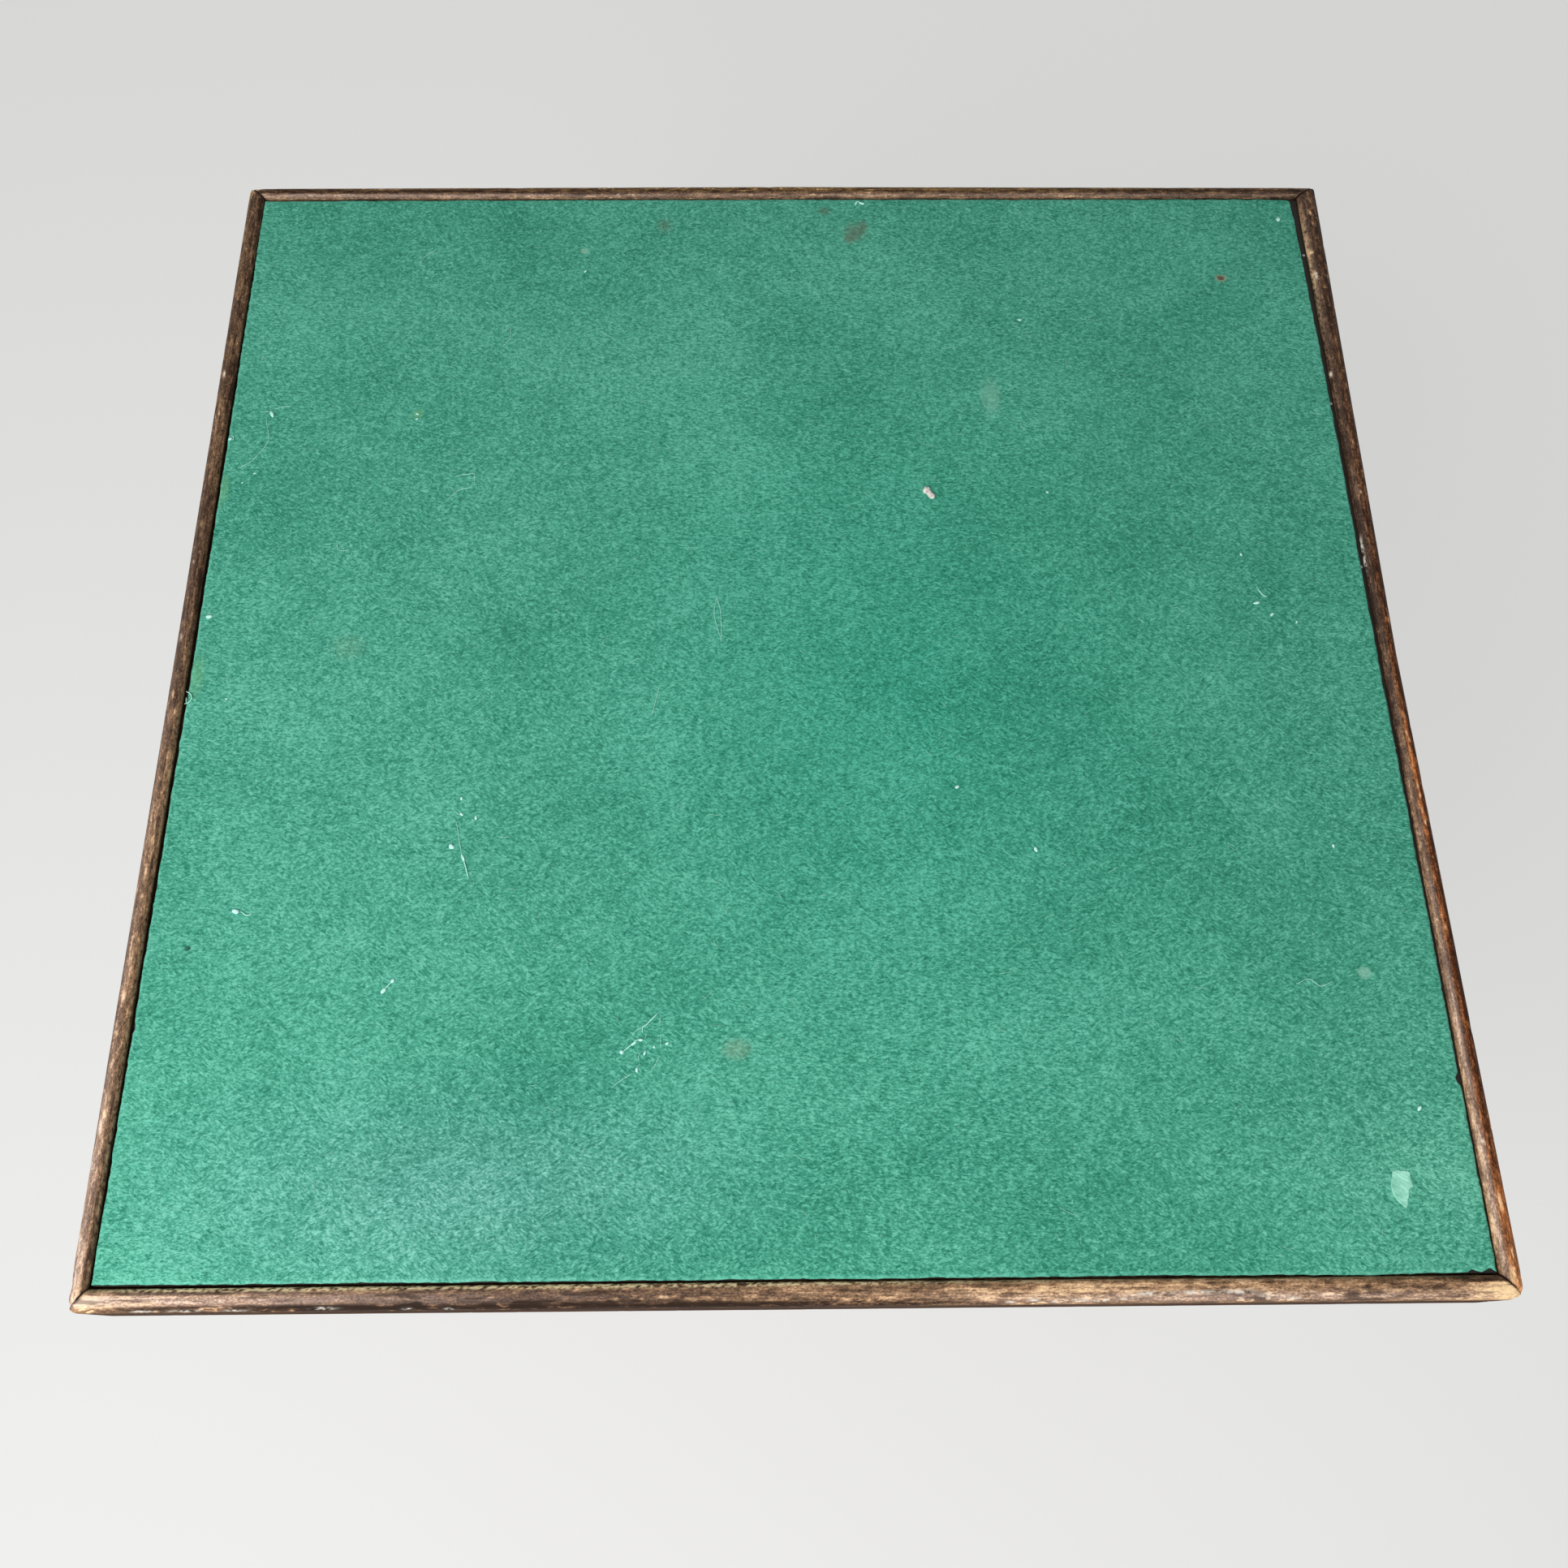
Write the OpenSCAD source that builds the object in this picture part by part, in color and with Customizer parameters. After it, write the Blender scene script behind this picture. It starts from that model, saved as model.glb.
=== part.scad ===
// Folding card table: a baize playing board in a mitred wooden frame, on four legs that fold flat
// inside the frame, one along each rail. A jointed steel stay braces each leg.
// Millimetres. The origin is on the floor under the middle of the top. The front is towards -Y.

/* [Table] */
// Side of the square top, over the rails
top_w = 762; // [756:1:950]
// Height from the floor to the crown of the rails
table_h = 686; // [560:1:690]

/* [Rails] */
// Thickness of a rail, from its outer face to its inner face
rail_t = 20; // [18:0.5:22]
// Depth of a rail, from its crown to its lower edge
rail_d = 46; // [46:0.5:60]
// Width of the lip that stands round the playing board
lip_w = 12; // [11:0.5:14]
// Radius of the lip's outer edge
lip_outer_r = 6; // [3:0.5:6.5]
// Radius of the lip's inner edge
lip_inner_r = 3.5; // [1:0.5:4]
// Radius of a rail's lower edges
rail_edge_r = 1.5; // [0.5:0.5:3]
// Rounding of the frame's four corners, seen from above
corner_r = 5; // [2:0.5:8]
// Open line along each mitre
mitre_gap = 0.3; // [0.1:0.1:0.5]

/* [Playing board] */
// Thickness of the board
board_t = 6; // [4:0.5:8]
// Thickness of the baize
baize_t = 1.2; // [0.8:0.1:2]
// Height of the lip's crown above the baize
lip_rise = 2.2; // [1.5:0.1:4]
// Gap between the board and the lip, all round
board_gap = 1.5; // [0.5:0.1:3]

/* [Board and mitre pins] */
// Diameter of a pin
pin_d = 2; // [1.4:0.1:2.4]
// Length of a board pin
board_pin_l = 18; // [14:1:20]
// Board pins along each side
board_pins_a_side = 6; // [3:1:8]
// Length of a mitre pin
mitre_pin_l = 36; // [26:1:40]
// Depth to which a mitre pin is punched below the outer face
mitre_pin_sunk = 1.5; // [0.5:0.5:2.5]
// Distance of the mitre pins from the outer face they run along
mitre_pin_in = 8; // [6:0.5:9]
// Height of the lower mitre pins above the rails' lower edge
mitre_pin_low = 10; // [6:0.5:14]
// Distance between the lower and the upper mitre pins
mitre_pin_pitch = 23; // [18:0.5:26]

/* [Corner blocks] */
// Thickness of a block, measured from the rail it is screwed to
block_t = 14; // [12:0.5:16]
// Length of a block along that rail
block_l = 34; // [30:1:38]
// Chamfer on the block's free upright edge
block_chamfer = 4; // [1:0.5:6]
// Height of a block's lower face above the rails' lower edge
block_lift = 2; // [0.5:0.5:6]
// Distance of a block's screws from its ends
block_screw_in = 10; // [8:0.5:12]
// Distance of a block's screws from its upper and lower faces
block_screw_edge = 11; // [8:0.5:14]

/* [Legs] */
// Width of the square leg at the top
leg_w = 24; // [22:0.5:24]
// Width of the leg at the foot
foot_w = 18; // [17:0.5:22]
// Chamfer on the leg's long edges
leg_chamfer = 1.2; // [0.5:0.1:2]
// Depth of the hinge pin below the crown of the rails
hinge_depth = 34; // [33:0.5:36]
// Straight length of the leg below the hinge pin, before the taper
leg_straight = 190; // [180:5:300]
// How much lower the chamfers start to draw in than the faces
chamfer_lag = 8; // [2:1:20]
// Gap between the open leg and the corner block that stops it
stop_gap = 0.4; // [0.3:0.1:0.8]

/* [Foot glides] */
// Diameter of a glide
glide_d = 16; // [12:0.5:17]
// Height of a glide
glide_h = 4; // [3:0.5:6]
// Radius of a glide's rounded rim
glide_rim_r = 3; // [1:0.5:3]
// Diameter of a glide's nail
glide_nail_d = 3; // [2:0.5:4]
// Length of a glide's nail
glide_nail_l = 20; // [12:1:30]

/* [Hinge] */
// Thickness of the hinge plate and of the stay plate
plate_t = 2; // [1.5:0.1:2.5]
// Height of the hinge plate
hinge_plate_h = 19; // [17:0.5:20]
// Reach of the hinge plate past the pin, towards the corner
hinge_plate_back = 11; // [9.5:0.5:11.5]
// Reach of the hinge plate past the pin, away from the corner
hinge_plate_front = 35; // [33:0.5:36]
// Diameter of the hinge pin
hinge_pin_d = 6; // [5:0.5:7]
// Outer diameter of the spacer between plate and leg
spacer_d = 13; // [10:0.5:15]
// Outer diameter of the washer under the pin's head
washer_d = 17; // [14:0.5:20]
// Thickness of that washer
washer_t = 1.2; // [0.8:0.1:1.5]
// Diameter of the pin's domed head
hinge_head_d = 13; // [11:0.5:14]
// Height of the pin's domed head
hinge_head_h = 2.5; // [1.5:0.1:3]
// Distance of the hinge plate's first screw from the pin
hinge_screw_first = 15; // [12:0.5:17]
// Distance between the hinge plate's two screws
hinge_screw_pitch = 14; // [10:0.5:15]
// Rounding of the steel plates' corners
plate_corner_r = 6; // [1:0.5:8]

/* [Stays] */
// Distance of the stay's two anchor pivots from the hinge pin
stay_reach = 150; // [130:1:165]
// Width of a link between its eyes
link_w = 13; // [11:0.5:14]
// Diameter of a link's eyes
eye_d = 16; // [15:0.5:17]
// Thickness of a link
link_t = 2; // [1.5:0.1:2.2]
// Diameter of the stay's pins
stay_pin_d = 5; // [4:0.5:5.5]
// Diameter of the stay pins' countersunk heads
stay_head_d = 8; // [7.5:0.5:9]
// Depth of those countersunk heads
stay_head_h = 1.3; // [1:0.1:1.4]
// Diameter of the knuckle rivet's domed heads
knuckle_head_d = 9; // [8:0.5:10]
// Height of the knuckle rivet's domed heads
knuckle_head_h = 1.2; // [0.8:0.1:1.3]
// Length of the stay plate along the rail
stay_plate_l = 42; // [40:1:50]
// Height of the stay plate
stay_plate_h = 18; // [16.5:0.5:20]
// Distance of the stay plate's screws from its stud
stay_screw_out = 14.5; // [13:0.5:16]
// Diameter of the collar that holds the lower link off the leg
collar_d = 10; // [8:0.5:14]
// Length of a leg stud inside the leg
leg_stud_l = 16; // [12:1:18]
// Length of the stop lug at the knuckle
lug_l = 6; // [4:0.5:8]
// Thickness of the stop lug
lug_t = 2.5; // [1.5:0.1:3]
// Distance of the stop lug from the knuckle
lug_reach = 12; // [10:0.5:14]

/* [Screws] */
// Diameter of a wood screw
screw_d = 3.5; // [3:0.1:4]
// Diameter of a wood screw's countersunk head
screw_head_d = 7; // [6:0.5:7.5]
// Length of the screws that hold the steel plates
plate_screw_l = 14; // [10:1:15]
// Length of the corner blocks' screws
block_screw_l = 24; // [20:1:26]
// Width of a screw's slot
slot_w = 0.9; // [0.6:0.1:1.2]
// Depth of a screw's slot
slot_depth = 0.9; // [0.5:0.1:1.2]

/* [Clearances] */
// Radial fit of a pin that turns in its bore
run_fit = 0.06; // [0.03:0.01:0.1]
// Radial fit of a pin or screw that is fixed in its bore
fixed_fit = 0.05; // [0.03:0.01:0.1]
// Gap between flat faces that slide past each other
slide_gap = 0.4; // [0.3:0.05:0.6]

/* [Hidden] */
$fn = 64;

// Colours
WOOD = "#4a3222";
LEG_WOOD = "#5a3d29";
BLOCK_WOOD = "#b08a5a";
PLY = "#b9966a";
BAIZE = "#2f8f72";
STEEL = "#8f8c86";
BRIGHT = "#b7b4ab";

// The four corners, each a quarter turn on from the last
FRONT_LEFT = 0;
FRONT_RIGHT = 1;
BACK_RIGHT = 2;
BACK_LEFT = 3;
CORNERS = [FRONT_LEFT, FRONT_RIGHT, BACK_RIGHT, BACK_LEFT];

// How far a cutting tool reaches past the face it cuts
over = 1;

// The frame, from above
half_w = top_w / 2;
inner_w = half_w - rail_t;
rail_bottom = table_h - rail_d;

// The rebate, measured up from a rail's lower edge
ledge_up = rail_d - lip_rise - baize_t - board_t;
board_w = top_w - 2 * (lip_w + board_gap);
board_z = rail_bottom + ledge_up;

// Where the pins run
board_pin_in = (lip_w + board_gap + rail_t) / 2;
mitre_pin_ups = [mitre_pin_low, mitre_pin_low + mitre_pin_pitch];

// Layers between the rail's inner face and the leg, measured from that face
upper_link_at = plate_t + slide_gap;
lower_link_at = upper_link_at + link_t + slide_gap;
leg_at = lower_link_at + link_t + slide_gap + knuckle_head_h + slide_gap;
washer_at = leg_at + leg_w + slide_gap;
hinge_head_at = washer_at + washer_t;

// The hinge pin of the front left leg
leg_r = leg_w / 2;
pivot_x = -inner_w + block_t + stop_gap + leg_r;
pivot_z = table_h - hinge_depth;
leg_wood_l = pivot_z - glide_h;

// The stay: two equal links, straight when the leg is open and folded together when it is shut
link_l = stay_reach * sqrt(2) / 2;
lug_side = link_w / 2 + slide_gap;
block_h = ledge_up - block_lift;

// Repeats a corner's pieces at one corner
module at_corner(corner) {
    rotate([0, 0, 90 * corner]) children();
}

// Puts a shape on the front rail by the front left hinge pin. In it X runs along the rail away
// from the corner, Y runs down and Z runs from the rail's inner face into the frame.
module on_rail(out = 0) {
    translate([pivot_x, -inner_w + out, pivot_z]) rotate([-90, 0, 0]) children();
}

// Puts a shape on the left rail at the front left corner. In it X runs back along the rail, Y runs
// down from the board and Z runs from the rail's inner face into the frame.
module on_block_rail() {
    translate([-inner_w, -inner_w, board_z]) rotate([-90, 0, -90]) mirror([1, 0, 0]) children();
}

// What rounding a square corner takes away. The corner is at the origin, the shape at -X and -Y.
module round_off(r) {
    difference() {
        translate([-r, -r]) square(r + over);
        translate([-r, -r]) circle(r);
    }
}

// A dome with a flat base at Z = 0
module dome(d, h) {
    sphere_r = (d * d / 4 + h * h) / (2 * h);
    rotate_extrude() intersection() {
        translate([0, h - sphere_r]) circle(sphere_r);
        square([d / 2, h]);
    }
}

// A countersunk wood screw. Its head is flush with Z = 0 and its point is down.
module wood_screw(l) {
    head_h = (screw_head_d - screw_d) / 2;
    point_h = screw_d;
    difference() {
        rotate_extrude() polygon([
            [0, 0], [screw_head_d / 2, 0], [screw_d / 2, -head_h],
            [screw_d / 2, -(l - point_h)], [0, -l]
        ]);
        translate([-screw_head_d, -slot_w / 2, -slot_depth]) cube([2 * screw_head_d, slot_w, slot_depth + over]);
    }
}

// The hole that a wood screw fills
module screw_hole(l) {
    head_h = (screw_head_d - screw_d) / 2;
    rotate_extrude() polygon([
        [0, over], [screw_head_d / 2 + fixed_fit, over], [screw_head_d / 2 + fixed_fit, 0],
        [screw_d / 2 + fixed_fit, -head_h], [screw_d / 2 + fixed_fit, -l], [0, -l]
    ]);
}

// Section of a rail: X from the outer face inwards, Y up from the lower edge
module rail_section() {
    difference() {
        union() {
            square([rail_t, ledge_up]);
            square([lip_w, rail_d]);
        }
        translate([0, rail_d]) mirror([1, 0]) round_off(lip_outer_r);
        translate([lip_w, rail_d]) round_off(lip_inner_r);
        mirror([1, 0]) mirror([0, 1]) round_off(rail_edge_r);
        translate([rail_t, 0]) mirror([0, 1]) round_off(rail_edge_r);
    }
}

// Plan of the front rail, mitred at both ends
module rail_plan() {
    gap = mitre_gap / sqrt(2);
    deep = rail_t + over;
    polygon([
        [-half_w + gap - over, -half_w - over], [half_w - gap + over, -half_w - over],
        [half_w - gap - deep, -half_w + deep], [-half_w + gap + deep, -half_w + deep]
    ]);
}

// Upright cut that rounds the frame's front left corner
module corner_cut() {
    translate([-half_w, -half_w, rail_bottom - over])
        linear_extrude(rail_d + 2 * over) rotate(180) round_off(corner_r);
}

module mitre_pin_shapes(d, l) {
    for (up = mitre_pin_ups)
        translate([-half_w + mitre_pin_sunk, -half_w + mitre_pin_in, rail_bottom + up])
            rotate([0, 90, 0]) cylinder(d = d, h = l);
}

// The hole of a mitre pin, open at the outer face
module mitre_pin_holes() {
    d = pin_d + 2 * fixed_fit;
    mitre_pin_shapes(d, mitre_pin_l);
    translate([-mitre_pin_sunk - over, 0, 0]) mitre_pin_shapes(d, mitre_pin_sunk + 2 * over);
}

// The board pins of one side
module board_pin_row(d, l) {
    pitch = top_w / board_pins_a_side;
    for (i = [0 : board_pins_a_side - 1])
        translate([-half_w + (i + 0.5) * pitch, -half_w + board_pin_in, board_z + board_t - l])
            cylinder(d = d, h = l);
}

// The rails run round the frame from the front one, so that corner n is at the left end of rail n
module rail(side) {
    color(WOOD) at_corner(side) difference() {
        intersection() {
            translate([-half_w, -half_w, rail_bottom])
                rotate([90, 0, 90]) linear_extrude(top_w) rail_section();
            translate([0, 0, rail_bottom - over]) linear_extrude(rail_d + 2 * over) rail_plan();
        }
        corner_cut();
        at_corner(1) corner_cut();
        mitre_pin_holes();
        at_corner(1) mitre_pin_holes();
        board_pin_row(pin_d + 2 * fixed_fit, board_pin_l);
        on_rail() hinge_screws() screw_hole(plate_screw_l);
        on_rail() stay_screws() screw_hole(plate_screw_l);
        at_corner(1) block_screw_set() screw_hole(block_screw_l);
    }
}

module playing_board() {
    color(PLY) difference() {
        translate([-board_w / 2, -board_w / 2, board_z]) cube([board_w, board_w, board_t]);
        for (side = CORNERS)
            at_corner(side) translate([0, 0, over]) board_pin_row(pin_d + 2 * fixed_fit, board_t + 2 * over);
    }
}

module baize() {
    color(BAIZE) translate([-board_w / 2, -board_w / 2, board_z + board_t]) cube([board_w, board_w, baize_t]);
}

module board_pins() {
    color(STEEL) for (side = CORNERS) at_corner(side) board_pin_row(pin_d, board_pin_l);
}

module mitre_pins() {
    color(STEEL) for (corner = CORNERS) at_corner(corner) mitre_pin_shapes(pin_d, mitre_pin_l);
}

// Puts a block's two screws through its inner face into the left rail
module block_screw_set() {
    on_block_rail() translate([block_screw_in, block_h - block_screw_edge, block_t]) children();
    on_block_rail() translate([block_l - block_screw_in, block_screw_edge, block_t]) children();
}

module corner_block(corner) {
    color(BLOCK_WOOD) at_corner(corner) difference() {
        translate([-inner_w, -inner_w, board_z - block_h]) linear_extrude(block_h) polygon([
            [0, 0], [block_t, 0], [block_t, block_l - block_chamfer],
            [block_t - block_chamfer, block_l], [0, block_l]
        ]);
        block_screw_set() screw_hole(block_screw_l);
    }
}

module block_screws() {
    color(STEEL) for (corner = CORNERS) at_corner(corner) block_screw_set() wood_screw(block_screw_l);
}

// Places of the hinge plate's screws
module hinge_screws() {
    for (i = [0, 1]) translate([hinge_screw_first + i * hinge_screw_pitch, 0, plate_t]) children();
}

// Places of the stay plate's screws
module stay_screws() {
    for (side = [-1, 1]) translate([stay_reach + side * stay_screw_out, 0, plate_t]) children();
}

// A plate with rounded corners, from X = -back to X = front
module plate_outline(back, front, h) {
    difference() {
        translate([-back, -h / 2]) square([back + front, h]);
        for (up = [0, 1]) mirror([0, up]) {
            translate([front, h / 2]) round_off(plate_corner_r);
            translate([-back, h / 2]) mirror([1, 0]) round_off(plate_corner_r);
        }
    }
}

module hinge_plate(corner) {
    color(STEEL) at_corner(corner) on_rail() difference() {
        linear_extrude(plate_t) plate_outline(hinge_plate_back, hinge_plate_front, hinge_plate_h);
        translate([0, 0, -over]) cylinder(d = hinge_pin_d + 2 * fixed_fit, h = plate_t + 2 * over);
        hinge_screws() screw_hole(plate_screw_l);
    }
}

// The pin on which a leg turns, riveted into the hinge plate, with a domed head inside the leg
module hinge_stud(corner) {
    color(BRIGHT) at_corner(corner) on_rail() {
        cylinder(d = hinge_pin_d, h = hinge_head_at);
        translate([0, 0, hinge_head_at]) dome(hinge_head_d, hinge_head_h);
    }
}

module ring(outer_d, bore_d, h) {
    difference() {
        cylinder(d = outer_d, h = h);
        translate([0, 0, -over]) cylinder(d = bore_d, h = h + 2 * over);
    }
}

module hinge_spacers() {
    color(STEEL) for (corner = CORNERS) at_corner(corner) on_rail(plate_t)
        ring(spacer_d, hinge_pin_d + 2 * fixed_fit, leg_at - plate_t - slide_gap);
}

module hinge_washers() {
    color(STEEL) for (corner = CORNERS) at_corner(corner) on_rail(washer_at)
        ring(washer_d, hinge_pin_d + 2 * fixed_fit, washer_t);
}

module stay_plate(corner) {
    color(STEEL) at_corner(corner) on_rail() difference() {
        translate([stay_reach, 0, 0])
            linear_extrude(plate_t) plate_outline(stay_plate_l / 2, stay_plate_l / 2, stay_plate_h);
        translate([stay_reach, 0, -over]) cylinder(d = stay_pin_d + 2 * fixed_fit, h = plate_t + 2 * over);
        stay_screws() screw_hole(plate_screw_l);
    }
}

// A stay pin that stands up from Z = 0 to a countersunk head flush with Z = h
module stay_pin(h) {
    rotate_extrude() polygon([
        [0, 0], [stay_pin_d / 2, 0], [stay_pin_d / 2, h - stay_head_h], [stay_head_d / 2, h], [0, h]
    ]);
}

// The bore for such a pin in a link that lies from Z = 0 to Z = link_t
module stay_pin_bore() {
    r = stay_pin_d / 2 + run_fit;
    head_r = stay_head_d / 2 + 2 * run_fit;
    rotate_extrude() polygon([
        [0, -over], [r, -over], [r, link_t - stay_head_h - run_fit],
        [head_r, link_t - run_fit], [head_r, link_t + over], [0, link_t + over]
    ]);
}

module stay_studs() {
    color(BRIGHT) for (corner = CORNERS) at_corner(corner) on_rail()
        translate([stay_reach, 0, 0]) stay_pin(upper_link_at + link_t);
}

module plate_screws() {
    color(BRIGHT) for (corner = CORNERS) at_corner(corner) on_rail() {
        hinge_screws() wood_screw(plate_screw_l);
        stay_screws() wood_screw(plate_screw_l);
    }
}

// One tapered face of a leg: X across, Y down from the hinge pin, straight down to Y = start
module leg_taper(top, foot, start) {
    polygon([
        [-top / 2, -leg_w], [top / 2, -leg_w], [top / 2, start],
        [foot / 2, leg_wood_l], [-foot / 2, leg_wood_l], [-top / 2, start]
    ]);
}

// The leg's outline seen along the hinge pin, with its round top
module leg_side() {
    circle(leg_r);
    intersection() {
        leg_taper(leg_w, foot_w, leg_straight);
        translate([-leg_w, 0]) square([2 * leg_w, leg_wood_l]);
    }
}

// A bar with one tapered face, turned about the leg's own axis
module leg_prism(turn, top, foot, start) {
    rotate([0, turn, 0]) translate([0, 0, -leg_w]) linear_extrude(2 * leg_w) leg_taper(top, foot, start);
}

module leg(corner) {
    // Width across two chamfers of a square bar
    function across(w) = (w - leg_chamfer) * sqrt(2);
    chamfer_start = leg_straight + chamfer_lag;
    color(LEG_WOOD) at_corner(corner) on_rail(leg_at) difference() {
        translate([0, 0, leg_r]) intersection() {
            translate([0, 0, -leg_w]) linear_extrude(2 * leg_w) leg_side();
            leg_prism(90, leg_w, foot_w, leg_straight);
            leg_prism(45, across(leg_w), across(foot_w), chamfer_start);
            leg_prism(-45, across(leg_w), across(foot_w), chamfer_start);
        }
        translate([0, 0, -over]) cylinder(d = hinge_pin_d + 2 * run_fit, h = leg_w + 2 * over);
        translate([0, stay_reach, -over]) cylinder(d = stay_pin_d + 2 * fixed_fit, h = leg_stud_l + over);
        translate([0, leg_wood_l + over, leg_r]) rotate([90, 0, 0])
            cylinder(d = glide_nail_d + 2 * fixed_fit, h = glide_nail_l + over);
    }
}

// A domed glide under a leg, with a flat sole and its own nail
module foot_glide(corner) {
    rim_in = glide_d / 2 - glide_rim_r;
    color(BRIGHT) at_corner(corner) on_rail(leg_at)
        translate([0, leg_wood_l + glide_h, leg_r]) rotate([90, 0, 0]) {
            rotate_extrude() intersection() {
                union() {
                    square([rim_in, glide_h]);
                    translate([0, glide_rim_r]) square([glide_d / 2, glide_h]);
                    translate([rim_in, glide_rim_r]) circle(glide_rim_r);
                }
                square([glide_d / 2, glide_h]);
            }
            cylinder(d = glide_nail_d, h = glide_h + glide_nail_l);
        }
}

// The pin on which the lower link turns: it is driven into the leg and has a collar and a flush head
module leg_stud(corner) {
    collar_h = leg_at - lower_link_at - link_t - slide_gap;
    color(BRIGHT) at_corner(corner) on_rail(leg_at) translate([0, stay_reach, 0]) {
        mirror([0, 0, 1]) cylinder(d = collar_d, h = collar_h);
        mirror([0, 0, 1]) stay_pin(leg_at - lower_link_at);
        cylinder(d = stay_pin_d, h = leg_stud_l);
    }
}

// A link from its eye at the origin to its eye at X = link_l
module link_outline() {
    translate([0, -link_w / 2]) square([link_l, link_w]);
    circle(d = eye_d);
    translate([link_l, 0]) circle(d = eye_d);
}

// The ear beside the knuckle, which carries the stop lug
module lug_ear() {
    ear_l = eye_d / 2 + lug_reach + lug_l;
    difference() {
        translate([link_l - eye_d / 2, 0]) square([ear_l, lug_side + lug_t]);
        translate([link_l - eye_d / 2 + ear_l, 0]) mirror([0, 1]) round_off(lug_side);
    }
}

module knuckle_bore() {
    translate([link_l, 0, -over]) cylinder(d = stay_pin_d + 2 * fixed_fit, h = link_t + 2 * over);
}

// The upper link, from the rail down to the knuckle. Its lug stops the stay when it is straight.
module stay_upper(corner) {
    color(STEEL) at_corner(corner) on_rail(upper_link_at) translate([stay_reach, 0, 0]) rotate([0, 0, 135]) {
        difference() {
            linear_extrude(link_t) {
                link_outline();
                lug_ear();
            }
            stay_pin_bore();
            knuckle_bore();
        }
        translate([link_l + lug_reach, lug_side, link_t / 2])
            cube([lug_l, lug_t, link_t / 2 + slide_gap + link_t]);
    }
}

// The lower link, from the leg up to the knuckle
module stay_lower(corner) {
    color(STEEL) at_corner(corner) on_rail(lower_link_at) translate([0, stay_reach, 0]) rotate([0, 0, -45])
        difference() {
            linear_extrude(link_t) link_outline();
            translate([0, 0, link_t]) mirror([0, 0, 1]) stay_pin_bore();
            knuckle_bore();
        }
}

// One half of a knuckle rivet: its shank fills the link and its domed head stands above Z = link_t
module knuckle_half() {
    cylinder(d = stay_pin_d, h = link_t);
    translate([0, 0, link_t]) dome(knuckle_head_d, knuckle_head_h);
}

// The half of the knuckle rivet that turns with the upper link, with its head towards the rail
module knuckle_upper(corner) {
    color(BRIGHT) at_corner(corner) on_rail(upper_link_at + link_t)
        translate([stay_reach / 2, stay_reach / 2, 0]) mirror([0, 0, 1]) knuckle_half();
}

// The half that turns with the lower link, with its head towards the leg
module knuckle_lower(corner) {
    color(BRIGHT) at_corner(corner) on_rail(lower_link_at)
        translate([stay_reach / 2, stay_reach / 2, 0]) knuckle_half();
}

rail(FRONT_LEFT);  // rail_front
rail(FRONT_RIGHT);  // rail_right
rail(BACK_RIGHT);  // rail_back
rail(BACK_LEFT);  // rail_left
playing_board();
baize();
board_pins();
mitre_pins();
corner_block(FRONT_LEFT);  // corner_block_front_left
corner_block(FRONT_RIGHT);  // corner_block_front_right
corner_block(BACK_RIGHT);  // corner_block_back_right
corner_block(BACK_LEFT);  // corner_block_back_left
block_screws();
hinge_plate(FRONT_LEFT);  // hinge_plate_front_left
hinge_plate(FRONT_RIGHT);  // hinge_plate_front_right
hinge_plate(BACK_RIGHT);  // hinge_plate_back_right
hinge_plate(BACK_LEFT);  // hinge_plate_back_left
hinge_stud(FRONT_LEFT);  // hinge_stud_front_left
hinge_stud(FRONT_RIGHT);  // hinge_stud_front_right
hinge_stud(BACK_RIGHT);  // hinge_stud_back_right
hinge_stud(BACK_LEFT);  // hinge_stud_back_left
hinge_spacers();
hinge_washers();
stay_plate(FRONT_LEFT);  // stay_plate_front_left
stay_plate(FRONT_RIGHT);  // stay_plate_front_right
stay_plate(BACK_RIGHT);  // stay_plate_back_right
stay_plate(BACK_LEFT);  // stay_plate_back_left
stay_studs();
plate_screws();
leg(FRONT_LEFT);  // leg_front_left
leg(FRONT_RIGHT);  // leg_front_right
leg(BACK_RIGHT);  // leg_back_right
leg(BACK_LEFT);  // leg_back_left
foot_glide(FRONT_LEFT);  // foot_glide_front_left
foot_glide(FRONT_RIGHT);  // foot_glide_front_right
foot_glide(BACK_RIGHT);  // foot_glide_back_right
foot_glide(BACK_LEFT);  // foot_glide_back_left
leg_stud(FRONT_LEFT);  // leg_stud_front_left
leg_stud(FRONT_RIGHT);  // leg_stud_front_right
leg_stud(BACK_RIGHT);  // leg_stud_back_right
leg_stud(BACK_LEFT);  // leg_stud_back_left
stay_upper(FRONT_LEFT);  // stay_upper_front_left
stay_upper(FRONT_RIGHT);  // stay_upper_front_right
stay_upper(BACK_RIGHT);  // stay_upper_back_right
stay_upper(BACK_LEFT);  // stay_upper_back_left
stay_lower(FRONT_LEFT);  // stay_lower_front_left
stay_lower(FRONT_RIGHT);  // stay_lower_front_right
stay_lower(BACK_RIGHT);  // stay_lower_back_right
stay_lower(BACK_LEFT);  // stay_lower_back_left
knuckle_upper(FRONT_LEFT);  // knuckle_upper_front_left
knuckle_upper(FRONT_RIGHT);  // knuckle_upper_front_right
knuckle_upper(BACK_RIGHT);  // knuckle_upper_back_right
knuckle_upper(BACK_LEFT);  // knuckle_upper_back_left
knuckle_lower(FRONT_LEFT);  // knuckle_lower_front_left
knuckle_lower(FRONT_RIGHT);  // knuckle_lower_front_right
knuckle_lower(BACK_RIGHT);  // knuckle_lower_back_right
knuckle_lower(BACK_LEFT);  // knuckle_lower_back_left
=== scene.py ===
"""Looks of the folding card table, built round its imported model. Plain lengths are in millimetres."""

import math

import bpy
import numpy as np
from mathutils import Matrix, Vector


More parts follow.
